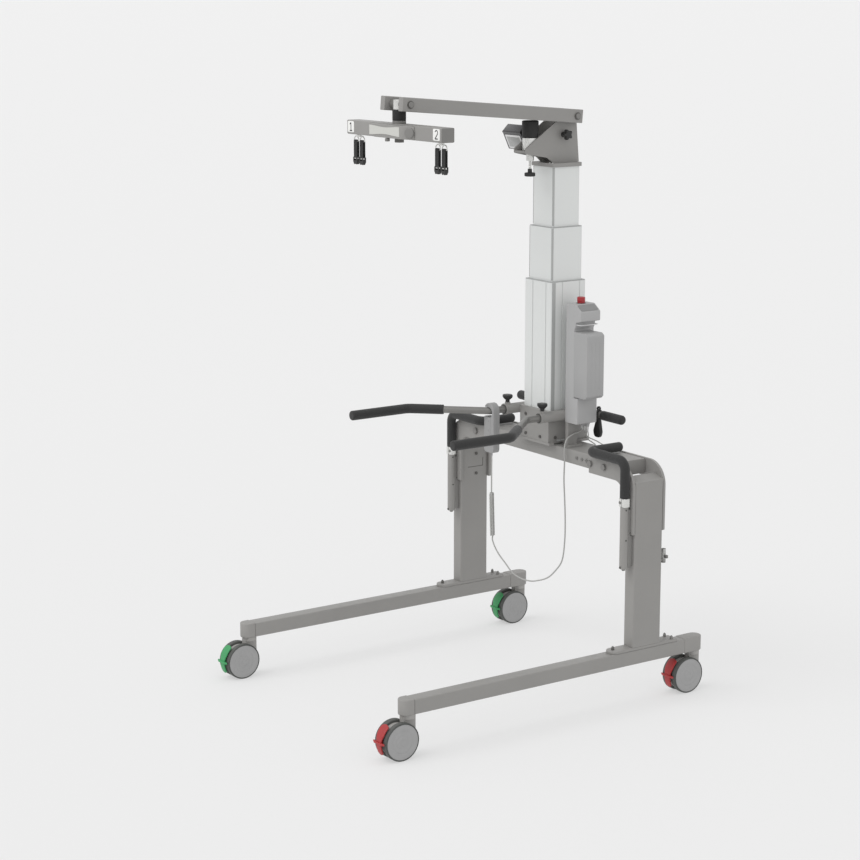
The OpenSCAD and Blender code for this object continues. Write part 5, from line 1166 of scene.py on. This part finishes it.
class SUPPORT_OT_straps(bpy.types.Operator):
    """Swivel hangers with wire loops, and webbing loops with their buckles"""

    bl_idname = "support.straps"
    bl_label = "Hangers and straps"

    def execute(self, context):
        wide = context.scene.support_sizes.webbing / MM
        y = YOKE[1]
        for side, s in SIDES:
            wires, tapes = [], []
            at = np.array([s * HANG_X, y, 0.0])
            wires += [(rod(10, 1898.6, 1904.1, 1, at, Z, 40), "steel"),
                      (rod(5, 1898.5, 1917, 0.5, at, Z, 32), "steel"),
                      (rod(9, 1916.8, 1922.7, 1, at, Z, 6), "zinc"),
                      (block([at[0] - 19, y - 2, 1894.5], [at[0] + 19, y + 2, 1898.5], 1, 1.2, 0), "steel")]
            for k in (-1, 1):
                x = at[0] + k * STRAP_PITCH / 2
                loop = rounded([[-13, -18], [13, -18], [13, -9], [5, -2], [-5, -2], [-13, -9]],
                               [3, 3, 4, 2, 2, 4], 5)
                loop = np.stack([x + loop[:, 0], np.full(len(loop), y), 1898.49 + loop[:, 1]], -1)
                wires.append((closed_wire(loop, 1.9, 14), "steel"))
                tapes += self.strap(x, y, wide)
            piece(f"wire_hanger_{side}", wires, f"hanger_{side}", (f"hanger_{side}",))
            piece(f"webbing_loops_{side}", tapes, f"straps_{side}", (f"straps_{side}",))
        return {"FINISHED"}

    @staticmethod
    def strap(x, y, wide):
        """A tape of even thickness carried over the wire as a half circle and down both sides to
        a buckle; the tape's section is a flattened rounded rectangle."""
        over = arc((0, 0), 3.9, 0, 180, 17)
        line = np.vstack([[[4.0, -52.5]], [[4.0, -26]], over, [[-4.0, -26]], [[-4.0, -52.5]]])
        path = np.stack([np.full(len(line), x), y + line[:, 0], STRAP_Z + line[:, 1]], -1)
        t = unit(np.gradient(path, axis=0))
        out = np.cross(X, t)
        edge = np.stack([wide / 2 * np.array([-1, -1, -.96, .96, 1, 1, .96, -.96]),
                         np.array([-.7, .7, 1.1, 1.1, .7, -.7, -1.1, -1.1])], -1)
        parts = [(band(list(zip(path, np.broadcast_to(X, t.shape), out)), edge), "web")]
        for row in (-34, -39, -44, -49):
            for k in range(-3, 4):
                low = [x + k * 2.4 - 0.8, y - 5.4, STRAP_Z + row - 0.25]
                high = [x + k * 2.4 + 0.8, y - 5.0, STRAP_Z + row + 0.25]
                parts.append((block(low, high, 0.1, 0.05, 1), "thread"))
        top, low = STRAP_Z - 52.1, STRAP_Z - 78.1
        outer = np.array([[-10, 5], [-7, 0], [-2, 1.5], [2, 1.5], [7, 0], [10, 5], [13, 9], [13, 24],
                          [11, 26], [-11, 26], [-13, 24], [-13, 9]])
        outer = rounded(outer + [x, low], [2, 2, 1, 1, 2, 2, 2, 1, 1, 1, 1, 2], 4)
        slot = rectangle(x - 9, x + 9, top - 12, top - 4, 3.6, 8)
        ring = np.vstack([slot, slot[:1]])
        reach = np.concatenate([[0], np.cumsum(np.linalg.norm(np.diff(ring, axis=0), axis=1))])
        mid = np.array([x, (top + low) / 2])
        turn = np.arctan2(outer[:, 1] - mid[1], outer[:, 0] - mid[0])
        hole_turn = np.arctan2(ring[:, 1] - top + 8, ring[:, 0] - x)
        order = np.argsort(hole_turn[:-1])
        loop = np.interp(turn, hole_turn[:-1][order], reach[:-1][order], period=2 * np.pi)
        hole = np.stack([np.interp(loop, reach, ring[:, k]) for k in (0, 1)], -1)
        parts.append((pipe(outer, hole, y - 6.4, y + 6.4, 1, 1.2), "black"))
        parts.append((rod(2.3, -13.3, 13.3, 0.6, [x, y - 3, top - 5.2], X, 28), "bright"))
        return parts


class SUPPORT_PT_panel(bpy.types.Panel):
    """The settings and the makers of the support frame"""

    bl_idname = "SUPPORT_PT_panel"
    bl_label = "Support frame"
    bl_space_type = "VIEW_3D"
    bl_region_type = "UI"
    bl_category = "Support frame"

    def draw(self, context):
        for group in (context.scene.support_sizes, context.scene.support_colours):
            column = self.layout.column()
            for name in group.__annotations__:
                column.prop(group, name)
        for maker in MAKERS:
            self.layout.operator(maker.bl_idname)


MAKERS = (SUPPORT_OT_stage, SUPPORT_OT_cords, SUPPORT_OT_casters, SUPPORT_OT_legs, SUPPORT_OT_portal,
          SUPPORT_OT_column, SUPPORT_OT_handlebars, SUPPORT_OT_handles, SUPPORT_OT_control_unit,
          SUPPORT_OT_handset, SUPPORT_OT_head, SUPPORT_OT_boom, SUPPORT_OT_yoke, SUPPORT_OT_straps)
CLASSES = (SupportSizes, SupportColours) + MAKERS + (SUPPORT_PT_panel,)


def register():
    for cls in CLASSES:
        bpy.utils.register_class(cls)
    bpy.types.Scene.support_sizes = bpy.props.PointerProperty(type=SupportSizes)
    bpy.types.Scene.support_colours = bpy.props.PointerProperty(type=SupportColours)


def unregister():
    del bpy.types.Scene.support_colours
    del bpy.types.Scene.support_sizes
    for cls in reversed(CLASSES):
        bpy.utils.unregister_class(cls)


def main():
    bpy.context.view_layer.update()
    register()
    for maker in MAKERS:
        getattr(bpy.ops.support, maker.bl_idname.split(".")[1])()


if __name__ == "__main__":
    main()
